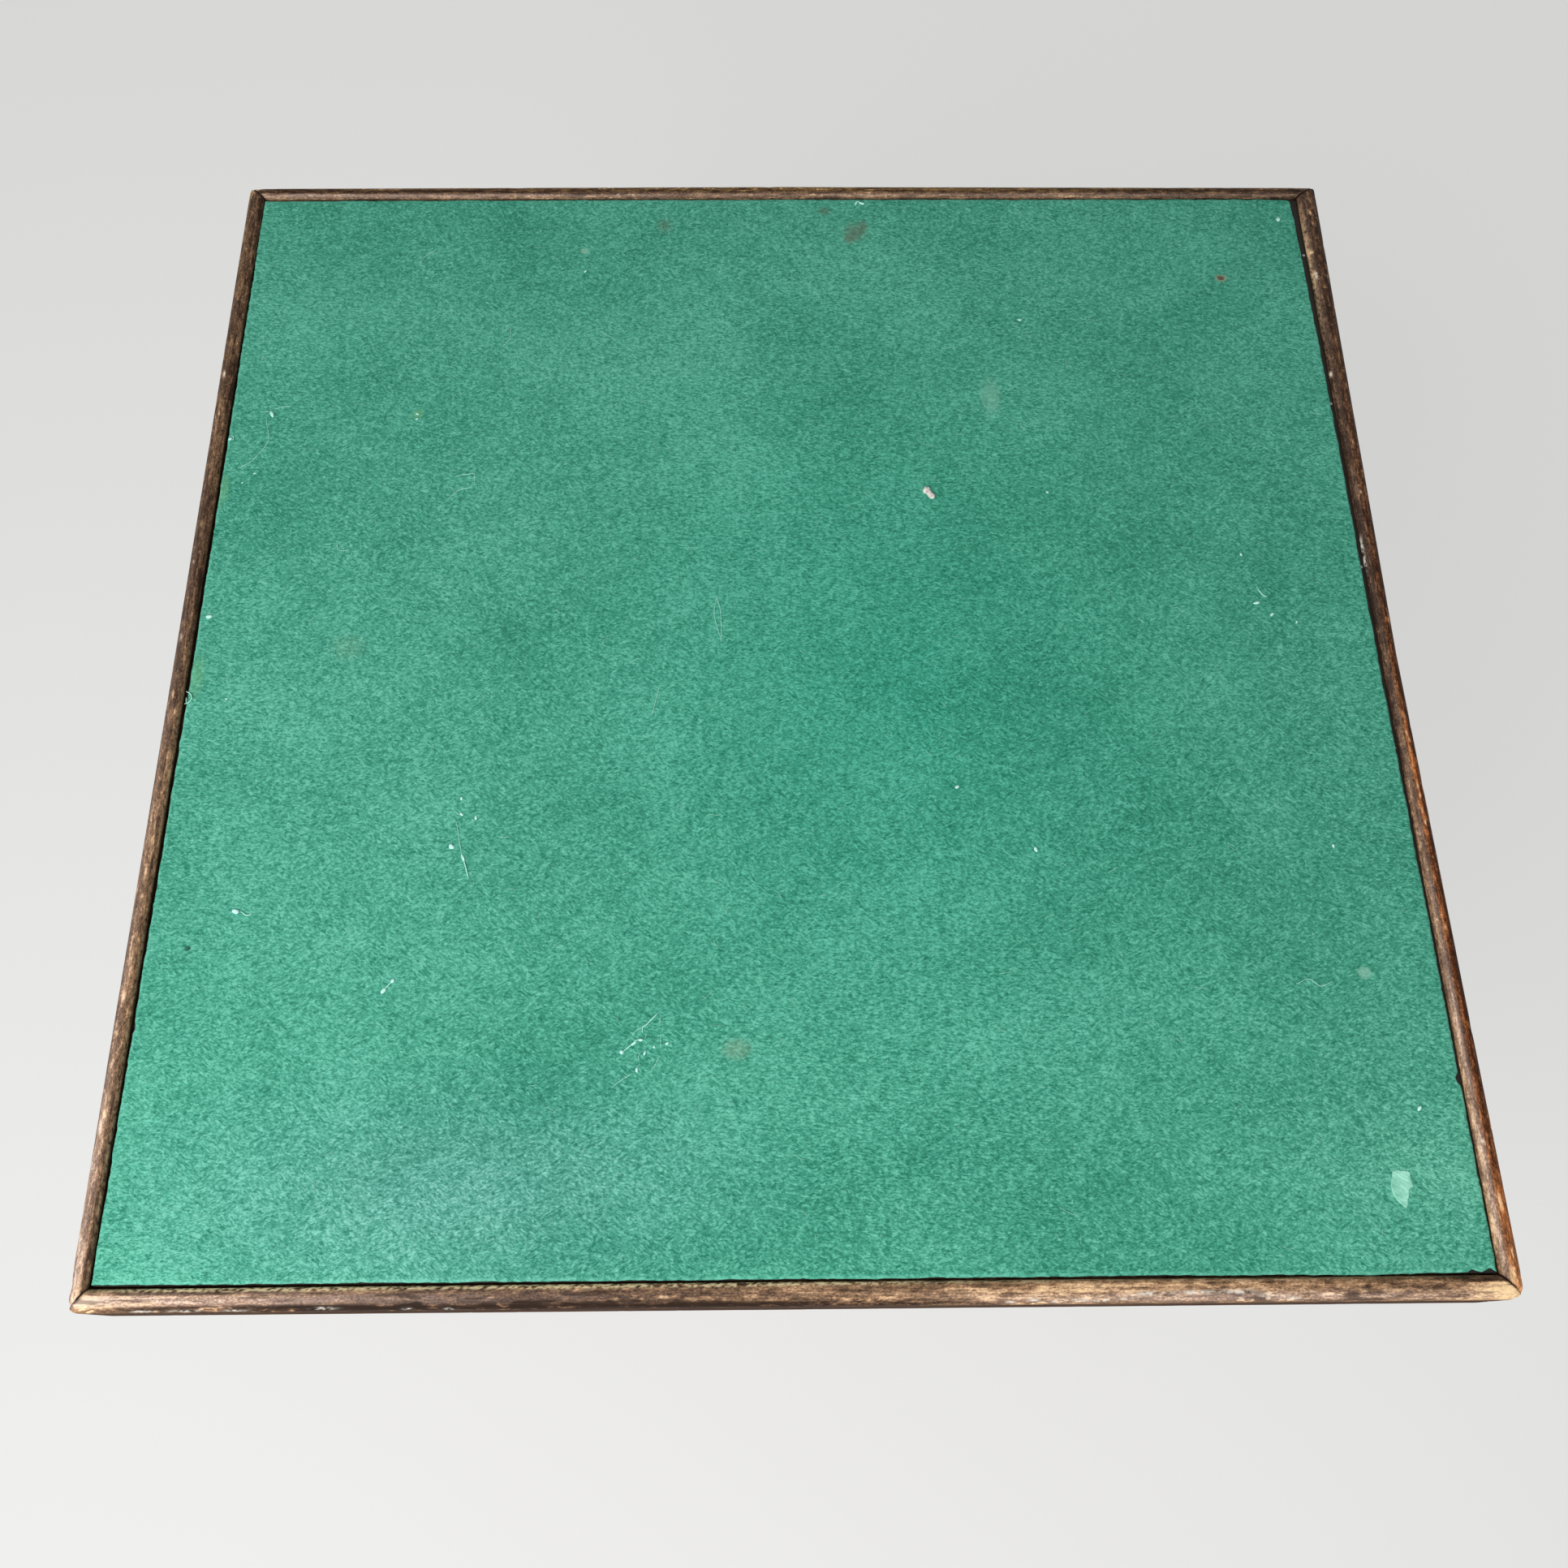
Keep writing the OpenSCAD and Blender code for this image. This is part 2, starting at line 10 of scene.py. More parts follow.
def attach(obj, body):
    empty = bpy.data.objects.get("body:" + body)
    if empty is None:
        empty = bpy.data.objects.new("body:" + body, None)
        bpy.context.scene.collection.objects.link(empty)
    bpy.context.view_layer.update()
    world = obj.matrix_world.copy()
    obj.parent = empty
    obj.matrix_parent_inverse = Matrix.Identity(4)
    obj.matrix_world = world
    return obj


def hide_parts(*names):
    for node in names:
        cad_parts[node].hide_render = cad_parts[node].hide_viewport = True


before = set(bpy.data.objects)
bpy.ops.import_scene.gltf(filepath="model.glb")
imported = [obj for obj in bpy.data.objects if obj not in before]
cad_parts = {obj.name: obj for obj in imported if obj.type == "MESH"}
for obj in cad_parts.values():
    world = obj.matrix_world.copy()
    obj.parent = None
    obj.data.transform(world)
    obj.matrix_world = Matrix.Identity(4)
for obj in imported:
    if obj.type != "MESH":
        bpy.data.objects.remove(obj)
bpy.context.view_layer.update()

MM = 0.001

# The frame, as the model has it
HALF = 381
CROWN = 686
RAIL_T = 20
RAIL_D = 46
LIP_W = 12
OUTER_R = 6
INNER_R = 3.5
EDGE_R = 1.5
LEDGE = 9.4
MITRE_GAP = 0.36
BAIZE_HALF = 367.5
BAIZE_TOP = 683.8
BAIZE_T = 1.2
BOARD_TOP_BELOW = 3.4
PIN_FROM_END = 8
PIN_BELOW_CROWN = (13, 36)

# The legs, in metres
LEG_HALF = 0.012
FOOT_HALF = 0.009
LEG_STRAIGHT_DOWN_TO = 0.462
EDGE_WEAR = 0.0042
PIVOT = (-0.3346, -0.3402)

# The rails run round the frame, each a quarter turn on from the last
FRONT, RIGHT, BACK, LEFT = range(4)
RAIL_NAMES = ("front", "right", "back", "left")
CORNER_NAMES = ("front_left", "front_right", "back_right", "back_left")

# Linear colours of the wood, from deep stain to bare wood
STAIN_DEEP = (0.02, 0.011, 0.007)
STAIN_DARK = (0.052, 0.026, 0.015)
STAIN_MID = (0.14, 0.082, 0.046)
AMBER = (0.3, 0.172, 0.09)
BARE = (0.59, 0.375, 0.215)
BARE_PALE = (0.86, 0.61, 0.33)
WOOD = (
    (0, STAIN_DEEP), (0.16, STAIN_DARK), (0.36, STAIN_MID), (0.55, AMBER), (0.76, BARE), (1, BARE_PALE),
)
FLECK_YELLOW = (0.86, 0.68, 0.4)
# Pale film colours: on the rails partly old varnish and partly a painted sheen, on the legs' feet dust
DUST_HAZE_AND_SHEEN = (0.4, 0.285, 0.235)
HAZE_AND_SHEEN_PALE = (0.76, 0.6, 0.51)
PAINT_WHITE = (0.7, 0.66, 0.58)

# Linear colours of the baize
BAIZE_DARK = (0.02, 0.18, 0.112)
BAIZE_MEAN = (0.059, 0.326, 0.219)
BAIZE_LIGHT = (0.16, 0.545, 0.4)


# Noise for shapes and painted masks

def lattice(ix, iy, seed):
    """A number from 0 to 1 for each point of a whole-numbered lattice, the same in every run."""
    mask = 0xFFFFFFFF
    mixed = (ix * 374761393 + iy * 668265263 + seed * 1442695041) & mask
    mixed = ((mixed ^ (mixed >> 13)) * 1274126177) & mask
    return ((mixed ^ (mixed >> 16)) & 0xFFFF) / 65535


def value_noise(x, y, seed):
    """Smooth noise from 0 to 1 that changes over about one unit of x and y."""
    x, y = np.broadcast_arrays(np.asarray(x, float), np.asarray(y, float))
    ix = np.floor(x).astype(np.int64)
    iy = np.floor(y).astype(np.int64)
    fx = x - ix
    fy = y - iy
    fx = fx * fx * (3 - 2 * fx)
    fy = fy * fy * (3 - 2 * fy)
    low = lattice(ix, iy, seed) * (1 - fx) + lattice(ix + 1, iy, seed) * fx
    high = lattice(ix, iy + 1, seed) * (1 - fx) + lattice(ix + 1, iy + 1, seed) * fx
    return low * (1 - fy) + high * fy


def layered(x, y, seed, layers=3):
    """Noise from 0 to 1 with finer and fainter layers added."""
    total = np.zeros(np.broadcast(x, y).shape)
    weight = 0
    for layer in range(layers):
        share = 0.5 ** layer
        total = total + share * value_noise(x * 2 ** layer, y * 2 ** layer, seed + 17 * layer)
        weight += share
    return total / weight


def smooth(value, low, high):
    """0 below low, 1 above high, and smooth between them."""
    t = np.clip((value - low) / (high - low), 0, 1)
    return t * t * (3 - 2 * t)


def hump(value, middle, width):
    """1 at the middle, falling to nothing about two widths away."""
    return np.exp(-((value - middle) / width) ** 2)


# Meshes

def in_scene(name, data):
    made = bpy.data.objects.new(name, data)
    bpy.context.scene.collection.objects.link(made)
    return made


def make_object(name, verts_mm, faces, material, shade_smooth=True):
    mesh = bpy.data.meshes.new(name)
    mesh.from_pydata((np.asarray(verts_mm, float) * MM).tolist(), [], faces)
    mesh.update()
    if shade_smooth:
        mesh.polygons.foreach_set("use_smooth", [True] * len(mesh.polygons))
    mesh.materials.append(material)
    return in_scene(name, mesh)


def add_field(obj, name, values, kind="FLOAT", key="value"):
    """Stores a value at each vertex, for the materials to read."""
    attribute = obj.data.attributes.new(name, kind, "POINT")
    attribute.data.foreach_set(key, np.asarray(values, np.float32).ravel())


def line_points(start, end, step):
    """Points from start up to but not at end, about step apart."""
    start = np.array(start, float)
    end = np.array(end, float)
    count = max(1, int(round(np.linalg.norm(end - start) / step)))
    return [tuple(start + (end - start) * i / count) for i in range(count)]


def quarter_arc(a, h, radius, from_deg):
    """Points on a quarter circle round (a, h), up to but not at its end."""
    sweep = math.pi / 2
    count = max(3, int(round(sweep * radius / LIP_STEP)))
    turns = [math.radians(from_deg) + sweep * i / count for i in range(count)]
    return [(a + radius * math.cos(t), h + radius * math.sin(t)) for t in turns]


def sweep_faces(rows, columns):
    """Quads of a tube with that many rings and points a ring, and its two end faces."""
    ring = np.arange(columns)
    after = (ring + 1) % columns
    faces = []
    for low in range(0, (rows - 1) * columns, columns):
        high = low + columns
        faces += np.column_stack([low + ring, high + ring, high + after, low + after]).tolist()
    faces.append(ring.tolist())
    faces.append(((rows - 1) * columns + ring[::-1]).tolist())
    return faces


def quarter_turned(x, y, turns):
    for _ in range(turns):
        x, y = -y, x
    return x, y


# Rails

LIP_STEP = 0.5
FACE_STEP = 2
HIDDEN_STEP = 4
STATION_STEP = 1


def rail_section():
    """The rail's section as points (a, h): a runs in from the outer face, h runs down from the crown."""
    low = RAIL_D - EDGE_R
    slope = LIP_W - INNER_R
    return np.array(
        line_points((RAIL_T, LEDGE), (RAIL_T, low), HIDDEN_STEP)
        + quarter_arc(RAIL_T - EDGE_R, low, EDGE_R, 0)
        + line_points((RAIL_T - EDGE_R, RAIL_D), (EDGE_R, RAIL_D), FACE_STEP)
        + quarter_arc(EDGE_R, low, EDGE_R, 90)
        + line_points((0, low), (0, OUTER_R), FACE_STEP)
        + quarter_arc(OUTER_R, OUTER_R, OUTER_R, 180)
        + line_points((OUTER_R, 0), (slope, 0), LIP_STEP)
        + quarter_arc(slope, INNER_R, INNER_R, 270)
        + line_points((LIP_W, INNER_R), (LIP_W, LEDGE), HIDDEN_STEP)
        + line_points((LIP_W, LEDGE), (RAIL_T, LEDGE), HIDDEN_STEP))


def section_around(section):
    """Distance round the section from the crown's middle, growing inwards over the lip."""
    closed = np.vstack([section, section[:1]])
    lengths = np.linalg.norm(np.diff(closed, axis=0), axis=1)
    along = np.concatenate([[0], np.cumsum(lengths)[:-1]])
    on_crown = np.argmin(section[:, 1] + 0.01 * abs(section[:, 0] - (OUTER_R + LIP_W - INNER_R) / 2))
    return along - along[on_crown]


def section_normals(section):
    """Unit normals of the section, pointing out of the wood."""
    ahead = np.roll(section, -1, axis=0) - np.roll(section, 1, axis=0)
    normals = np.column_stack([ahead[:, 1], -ahead[:, 0]])
    return normals / np.linalg.norm(normals, axis=1)[:, None]


# How far each rail has drawn inwards at its left end, middle and right end as seen from outside
DRAWN_OUTER = {FRONT: (0.2, 0, 0), RIGHT: (0.3, 4.4, 0.1), BACK: (1.8, 0.1, 1.6), LEFT: (0.1, 1.4, 1.7)}
DRAWN_INNER = {FRONT: (0.3, 0.6, 0.6), RIGHT: (1.2, 3.4, 3.6), BACK: (0.6, 0.2, 0.6), LEFT: (0.4, 0.3, 0.3)}
# Rounding of each rail's worn ends, seen from above, in the same order of corners as the rails
CORNER_WORN = (7.5, 7.5, 5, 5.5)


def drawn_in(side, a, h, s):
    """How far a point of a rail has moved inwards."""
    where = (-HALF, 0, HALF)
    outer = np.interp(s, where, DRAWN_OUTER[side])
    inner = np.interp(s, where, DRAWN_INNER[side]) * (1 - smooth(h, BOARD_TOP_BELOW - 0.9, BOARD_TOP_BELOW))
    lip = outer + (inner - outer) * np.clip(a / LIP_W, 0, 1)
    body = outer * (1 - np.clip(a / RAIL_T, 0, 1))
    return np.where((a <= LIP_W + 0.01) & (h < LEDGE - 0.01), np.where(a < 0.01, outer, lip), body)


def random_dents(side):
    """Small knocks: place along and round the rail, half length, half width and depth."""
    rng = np.random.default_rng(40 + side)
    dents = []
    for _ in range(70 if side == FRONT else 34):
        place = rng.uniform(-HALF, HALF)
        around = rng.choice([rng.normal(-6, 2.5), rng.normal(-2, 3), rng.uniform(-48, -10)],
                            p=[0.5, 0.25, 0.25])
        dents.append((place, around, rng.uniform(0.9, 5), rng.uniform(0.5, 1.6), rng.uniform(0.12, 0.5)))
    for end in (-1, 1):
        for _ in range(6):
            place = end * (HALF - abs(rng.normal(0, 9)))
            around = rng.normal(-5, 3)
            dents.append((place, around, rng.uniform(1.5, 4), rng.uniform(1, 2.2), rng.uniform(0.2, 0.6)))
    return dents


def pin_dimples():
    """The stopped holes over the mitre pins, near the right end of each rail: place along and round it."""
    crown_to_face = (LIP_W - INNER_R - OUTER_R) / 2 + OUTER_R * math.pi / 2
    return [(HALF - PIN_FROM_END, -(crown_to_face + below - OUTER_R)) for below in PIN_BELOW_CROWN]


def carve(side, s, around, worn):
    """How far the surface lies below the plain section."""
    depth = 0.1 * (layered(s / 45, around / 9, 60 + side) - 0.35)
    depth += 0.05 * (layered(s / 7, around / 1.6, 70 + side) - 0.35)
    for place, at, half_l, half_w, deep in random_dents(side):
        if (abs(s - place) < 3 * half_l).any():
            depth = depth + deep * hump(s, place, half_l) * hump(around, at, half_w)
    depth += 0.22 * smooth(worn, 0.52, 0.75)
    return np.maximum(depth, 0)


def round_corners(side, s, a):
    """Rounds the rail's two outer corners in plan. The worn radius shrinks with the distance in."""
    for end, corner in ((-1, side), (1, (side + 1) % 4)):
        r = CORNER_WORN[corner]
        at_end = (s * end > HALF - r) & (a < r)
        reach = np.where(at_end, s * end - (HALF - r), 0)
        left = np.where(at_end, r - a, 1)
        shrink = np.where(at_end, left / np.hypot(reach, left), 1)
        s = np.where(at_end, end * (HALF - r + reach * shrink), s)
        a = np.where(at_end, r - left * shrink, a)
    return s, a


# Where each rail's stain has worn: the place along the rail, and then in hundredths how bare the outer
# curve, the crown and the inner slope are, how thick the pale film lies, partly old varnish and partly
# painted sheen, and how thick the pale flecks lie along the inner edge
WORN_ALONG = {
    FRONT: (
        (-381, 46, 78, 52, 100, 20), (-366, 42, 80, 44, 100, 30), (-350, 32, 70, 28, 100, 80),
        (-325, 22, 64, 22, 100, 150), (-280, 12, 46, 26, 90, 190), (-232, 6, 32, 32, 66, 210),
        (-139, 0, 16, 33, 34, 230), (-46, 6, 38, 36, 14, 210), (46, 26, 44, 50, 10, 150),
        (100, 40, 57, 60, 30, 50), (139, 44, 63, 62, 50, 20), (232, 40, 52, 56, 75, 10),
        (300, 45, 52, 44, 60, 10), (345, 58, 56, 28, 35, 10), (365, 88, 86, 22, 15, 0),
        (381, 98, 98, 24, 0, 0),
    ),
    RIGHT: (
        (-381, 92, 84, 50, 10, 0), (-366, 56, 50, 46, 50, 0), (-330, 34, 44, 52, 85, 10),
        (-232, 5, 25, 46, 75, 0), (-139, 10, 39, 34, 50, 0), (-60, 10, 37, 18, 30, 0),
        (-10, 6, 26, 10, 18, 0), (46, 4, 21, 9, 12, 0), (139, 12, 27, 13, 12, 0),
        (232, 10, 20, 14, 14, 0), (300, 10, 19, 30, 20, 50), (345, 8, 17, 32, 15, 20),
        (381, 16, 22, 16, 10, 0),
    ),
    BACK: (
        (-381, 28, 12, 16, 20, 0), (-325, 30, 8, 22, 30, 0), (-232, 27, 14, 32, 45, 0),
        (-139, 32, 28, 34, 45, 0), (0, 34, 26, 29, 42, 0), (139, 35, 25, 29, 50, 0),
        (232, 35, 20, 33, 70, 0), (325, 36, 8, 41, 95, 0), (365, 36, 6, 41, 95, 0),
        (381, 60, 36, 40, 40, 0),
    ),
    LEFT: (
        (-381, 50, 22, 16, 10, 0), (-325, 18, 17, 22, 10, 0), (-232, 20, 26, 24, 12, 0),
        (-139, 23, 27, 24, 14, 0), (-46, 22, 18, 22, 20, 0), (46, 28, 30, 34, 30, 20),
        (139, 28, 40, 34, 40, 20), (232, 24, 42, 33, 40, 20), (325, 46, 38, 28, 85, 20),
        (350, 48, 46, 28, 90, 10), (381, 70, 72, 34, 85, 0),
    ),
}
# Single marks: place along and round the rail, half length, half width, and how bare they are
SINGLE_MARKS = {
    FRONT: (
        (98, -4.6, 4, 2.4, 0.4), (23, -4.5, 3, 1.2, 0.3), (48, -3.5, 3, 1.2, 0.26),
        (-190, -7.2, 3.5, 0.9, 0.34), (-214, -8, 3, 0.9, 0.3), (-162, -6.6, 2.4, 1, 0.34),
        (-118, -7, 2.6, 1, 0.3), (-76, -7.5, 2.6, 0.8, 0.22), (150, -1, 34, 0.7, 0.2),
        (175, 1.2, 60, 0.6, 0.18), (60, 0.6, 40, 0.6, 0.14), (374, -4.2, 6, 5, 0.55),
        (-95, -2.6, 1.6, 0.8, 0.5), (-85.5, -1.6, 1.3, 0.8, 0.5), (-81.5, -2.6, 1.4, 0.8, 0.5),
        (-71, -2, 3, 0.9, 0.6), (-64, -1.6, 1.4, 0.7, 0.5), (-56.5, -3, 3.2, 0.8, 0.55),
        (-39, -3.4, 1.2, 1, 0.5), (-27, -4.4, 6, 1.6, 0.42), (-15, -3.6, 1.6, 1, 0.4),
        (-370, -3, 9, 5, 0.16), (289, -4, 2.4, 1.6, -0.3), (297, 0, 1.8, 1.4, -0.35),
        (262, -6, 3.4, 0.9, 0.3), (276, -3.6, 2.2, 0.9, 0.28), (318, -2.5, 2.2, 0.9, -0.3),
    ),
    RIGHT: (
        (-368, -1.5, 5, 2, 0.4), (-357, -3, 3, 0.8, 0.4), (-331, -1.8, 4.6, 0.9, 0.65),
        (-303, -1.6, 1.2, 0.6, 0.4), (-296, -2, 1, 1, 0.45), (-299.5, 1.3, 0.8, 1, 0.8),
        (-178, -1.4, 1.8, 0.7, 0.4), (-135, -2.6, 0.8, 0.9, 0.5), (-113, -1.8, 1.8, 1, 0.55),
        (-105, -1.6, 2, 0.6, 0.45), (-96, -1.8, 1.4, 0.8, 0.5), (-90, -1.8, 2.8, 0.8, 0.55),
        (-65, -1.2, 1.6, 0.6, 0.45), (-59, -2.2, 1.8, 0.8, 0.55), (-55, -1, 1.6, 0.6, 0.4),
        (-43, -2.2, 2, 0.9, 0.55), (91, 0.2, 3.6, 0.6, 0.6), (82, 0.2, 1.4, 0.6, 0.45),
        (118, -0.4, 1, 0.5, 0.45), (123, 0.3, 0.8, 0.9, 0.45), (213, 4.4, 2.4, 0.8, 0.8),
        (286, -1.4, 0.8, 1, 0.35), (296, 2.4, 4, 0.8, 0.75), (317, 2.8, 1.6, 1.2, 0.6),
        (343, -1, 2.2, 0.8, 0.45), (353, -0.6, 2, 0.8, 0.45), (-100, 3.8, 60, 0.8, 0.16),
        (-300, 3.8, 60, 0.8, 0.18),
    ),
    BACK: (
        (376, -5, 3, 2.4, 0.5), (368, 2, 2, 1.4, 0.35), (-73, -7.8, 2, 1, 0.6), (270, -6, 1.4, 1, 0.5),
        (-345, -5.6, 2.4, 1, 0.55), (-338, -6.6, 3, 0.7, 0.3), (-290, -4, 5, 0.8, 0.25),
        (60, 2, 5, 0.8, 0.25), (210, 2.8, 9, 0.8, 0.2),
    ),
    LEFT: (
        (279, -1.8, 1.6, 1.3, 0.55), (213.6, -1.8, 2.4, 1.1, 0.6), (285, -3.4, 3.2, 1, 0.4),
        (249, -1.4, 1.8, 0.8, 0.35), (154, -0.6, 1.4, 0.9, 0.35), (139, -0.6, 3.6, 0.7, 0.45),
        (107, -2.4, 1.2, 0.6, 0.35), (37, 1.2, 4, 0.6, 0.4), (25, -1.8, 4, 1.4, 0.35),
        (-15, -2.6, 2.6, 0.8, 0.35), (-38, -2.4, 5, 0.8, 0.25), (-69, -2.4, 0.8, 0.5, 0.5),
        (-76, 0.4, 0.8, 0.6, 0.45), (-97, -0.8, 3, 2, 0.25), (-182, -1.4, 1.8, 0.7, 0.45),
        (-214.5, -2.6, 2.3, 1.1, 0.95), (-278, -1.6, 1.6, 1, 0.35), (-376, -3, 2.6, 3.2, 0.5),
    ),
}
# White flecks of paint: place along and round the rail, and their half length
WHITE_FLECKS = {
    FRONT: (
        (-340, -7.8, 6), (-318, -7.8, 8), (-292, -7.6, 5), (-246, -6.6, 5), (-203, -7.5, 2),
        (-181, -7.8, 2.5), (110, -6.8, 2), (122, -5.6, 2.5), (134, -6.4, 3), (146, -5.8, 4), (158, -6, 5),
        (170, -5.2, 3), (184, -2.6, 8), (206, -2.2, 10), (228, -2, 8), (243, -4, 2.5), (258, -6, 3),
    ),
    RIGHT: (
        (-299.5, 1.3, 0.9), (66, 4.9, 6), (79, 4.9, 6), (118, -0.4, 0.8), (213, 4.4, 1.8), (297, 2.4, 3),
    ),
    BACK: ((-336, -7.6, 3), (-345, -4.2, 1.2), (118, 3.4, 1),),
    LEFT: (
        (-214.5, -2.6, 2), (285, -3.2, 2.6), (305, -5, 3), (345, -4.6, 3), (-69, -2.4, 0.9),
        (-15, -2.8, 2),
    ),
}
# How bare the upright outer faces are, and how much calmer they are than the worn lip
FACE_BARE = 0.17
FACE_CALM = 0.66
# Where round each rail its pale film, partly old varnish and partly painted sheen, is thickest, by the place
# along it, and how widely it spreads
HAZE_AND_SHEEN_AT = {
    FRONT: ((-381, -1.5), (40, -1.5), (110, -5), (381, -5)),
    RIGHT: ((0, 2.2),), BACK: ((0, 3.5),), LEFT: ((0, -3),),
}
HAZE_AND_SHEEN_WIDE = {FRONT: 3, RIGHT: 1.8, BACK: 1.4, LEFT: 3.2}
# Where round each rail the painted shade in the gap beside the cloth lies, and where the crown gives way to
# the outer curve
CLOTH_GAP_SHADE_AT = {FRONT: 6.9, RIGHT: 8.6, BACK: 7.8, LEFT: 6.9}
OUTER_FROM = {FRONT: (2.2, 7), RIGHT: (1, 4.5), BACK: (0.4, 3), LEFT: (2.2, 7)}
# Tint of each rail's stain: below 0 olive, above 0 red
RED_ALONG = {
    FRONT: ((-381, 0.1), (-100, 0.2), (0, 0), (381, 0)),
    RIGHT: ((-381, 0.6), (-330, 0.9), (-60, 0.9), (20, 0.6), (160, 0.4), (381, 0.1)),
    BACK: ((-381, 0), (-250, -0.7), (0, -0.7), (200, -0.5), (360, -0.4), (381, 0)),
    LEFT: ((-381, -0.4), (0, -0.2), (381, 0.1)),
}


def along_table(rows, s, whole=1):
    """The table's columns, in parts of the whole, read at each place along the rail."""
    places, *columns = np.array(rows, float).T
    return [np.interp(s, places, column / whole) for column in columns]


def paint_rail(side, s, around):
    """How bare, white and red each point of a rail is, how thick its pale film of varnish and painted sheen
    lies, and how much dirt and painted shade darken it.
    """
    def patchy(along, across, seed, layers=3):
        return layered(s / along, around / across, seed + side, layers)

    outer, crown, inner, haze_and_sheen, fleck = along_table(WORN_ALONG[side], s, 100)
    to_outer = smooth(-around, *OUTER_FROM[side])
    bare = crown + (outer - crown) * to_outer + (inner - crown) * smooth(around, 0.6, 2.2)
    below = smooth(-around, 9.5, 13)
    bare = bare + (FACE_BARE + 0.6 * (outer - FACE_BARE) * hump(around, -11, 6) - bare) * below
    calm = 1 - FACE_CALM * below
    bare = bare + (0.42 * (patchy(30, 1.1, 80) - 0.5) + 0.5 * (patchy(6, 2, 90) - 0.5)) * calm
    often = smooth(patchy(40, 8, 110, 2), 0.36, 0.62) * (0.35 + 0.65 * to_outer)
    bare = bare + 0.42 * smooth(patchy(2.6, 1.1, 100, 2), 0.62, 0.72) * often * (1 - 0.8 * below)
    marks = sum(amount * hump(s, place, half_l) * hump(around, at, half_w)
                for place, at, half_l, half_w, amount in SINGLE_MARKS[side])
    marks = marks * (0.5 + patchy(1.6, 0.9, 120, 2))
    fleck = fleck * hump(around, 4.2, 1.1) * smooth(patchy(1.5, 0.9, 130, 2), 0.4, 0.6)
    fleck = fleck * (0.5 + layered(s / 40, 0, 135 + side, 2))
    lower_edge = hump(around, -48.5, 1.5) * smooth(layered(s / 12, 0, 140 + side), 0.4, 0.7)
    bare = bare + marks + 0.42 * lower_edge
    white = sum(hump(s, place, half_l) * hump(around, at, 0.9) for place, at, half_l in WHITE_FLECKS[side])
    white = white * smooth(patchy(1.5, 0.8, 150, 2), 0.34, 0.6)
    # The pale film on the crown is partly old varnish and partly a painted sheen
    haze_and_sheen_at = along_table(HAZE_AND_SHEEN_AT[side], s)[0]
    haze_and_sheen = haze_and_sheen * hump(around, haze_and_sheen_at, HAZE_AND_SHEEN_WIDE[side]) * (0.45 + 1.1 * patchy(12, 2.5, 160))
    # The band beside the cloth is painted shade in the gap; the patches on the outer faces and the dark
    # patches are dirt and chips
    grime_and_shade = 0.95 * hump(around, CLOTH_GAP_SHADE_AT[side], 1.5) + 0.5 * smooth(patchy(22, 5, 170), 0.62, 0.8) * below
    grime_and_shade = grime_and_shade + 0.95 * dark_patches(side, s, around)
    red = along_table(RED_ALONG[side], s)[0] * (0.15 + 0.85 * smooth(-around, -1.8, 1.2))
    red = red * (1 - np.clip(2 * marks, 0, 0.8))
    return {"bare": bare, "haze_and_sheen": haze_and_sheen, "white": white, "fleck": fleck, "grime_and_shade": grime_and_shade, "red": red,
            "lively": calm}


def dark_patches(side, s, around):
    """Dark chipped stretches on the outer curve, most on the front rail."""
    if side != FRONT:
        return 0.35 * smooth(layered(s / 18, around / 2.2, 180 + side, 2), 0.66, 0.8)
    chipped = smooth(s, -275, -215) * (1 - smooth(s, -30, 40)) * hump(around, -6.4, 3.3)
    chipped = chipped * smooth(layered(s / 9, around / 2.4, 183, 2), 0.3, 0.52)
    streak = smooth(s, -366, -340) * (1 - smooth(s, -260, -215)) * hump(around, -5.1, 1.2)
    streak = streak * smooth(layered(s / 30, 0, 185, 2), 0.22, 0.5)
    return 1.1 * chipped + 0.85 * streak + 0.6 * smooth(layered(s / 12, around / 1.8, 184, 2), 0.6, 0.74)


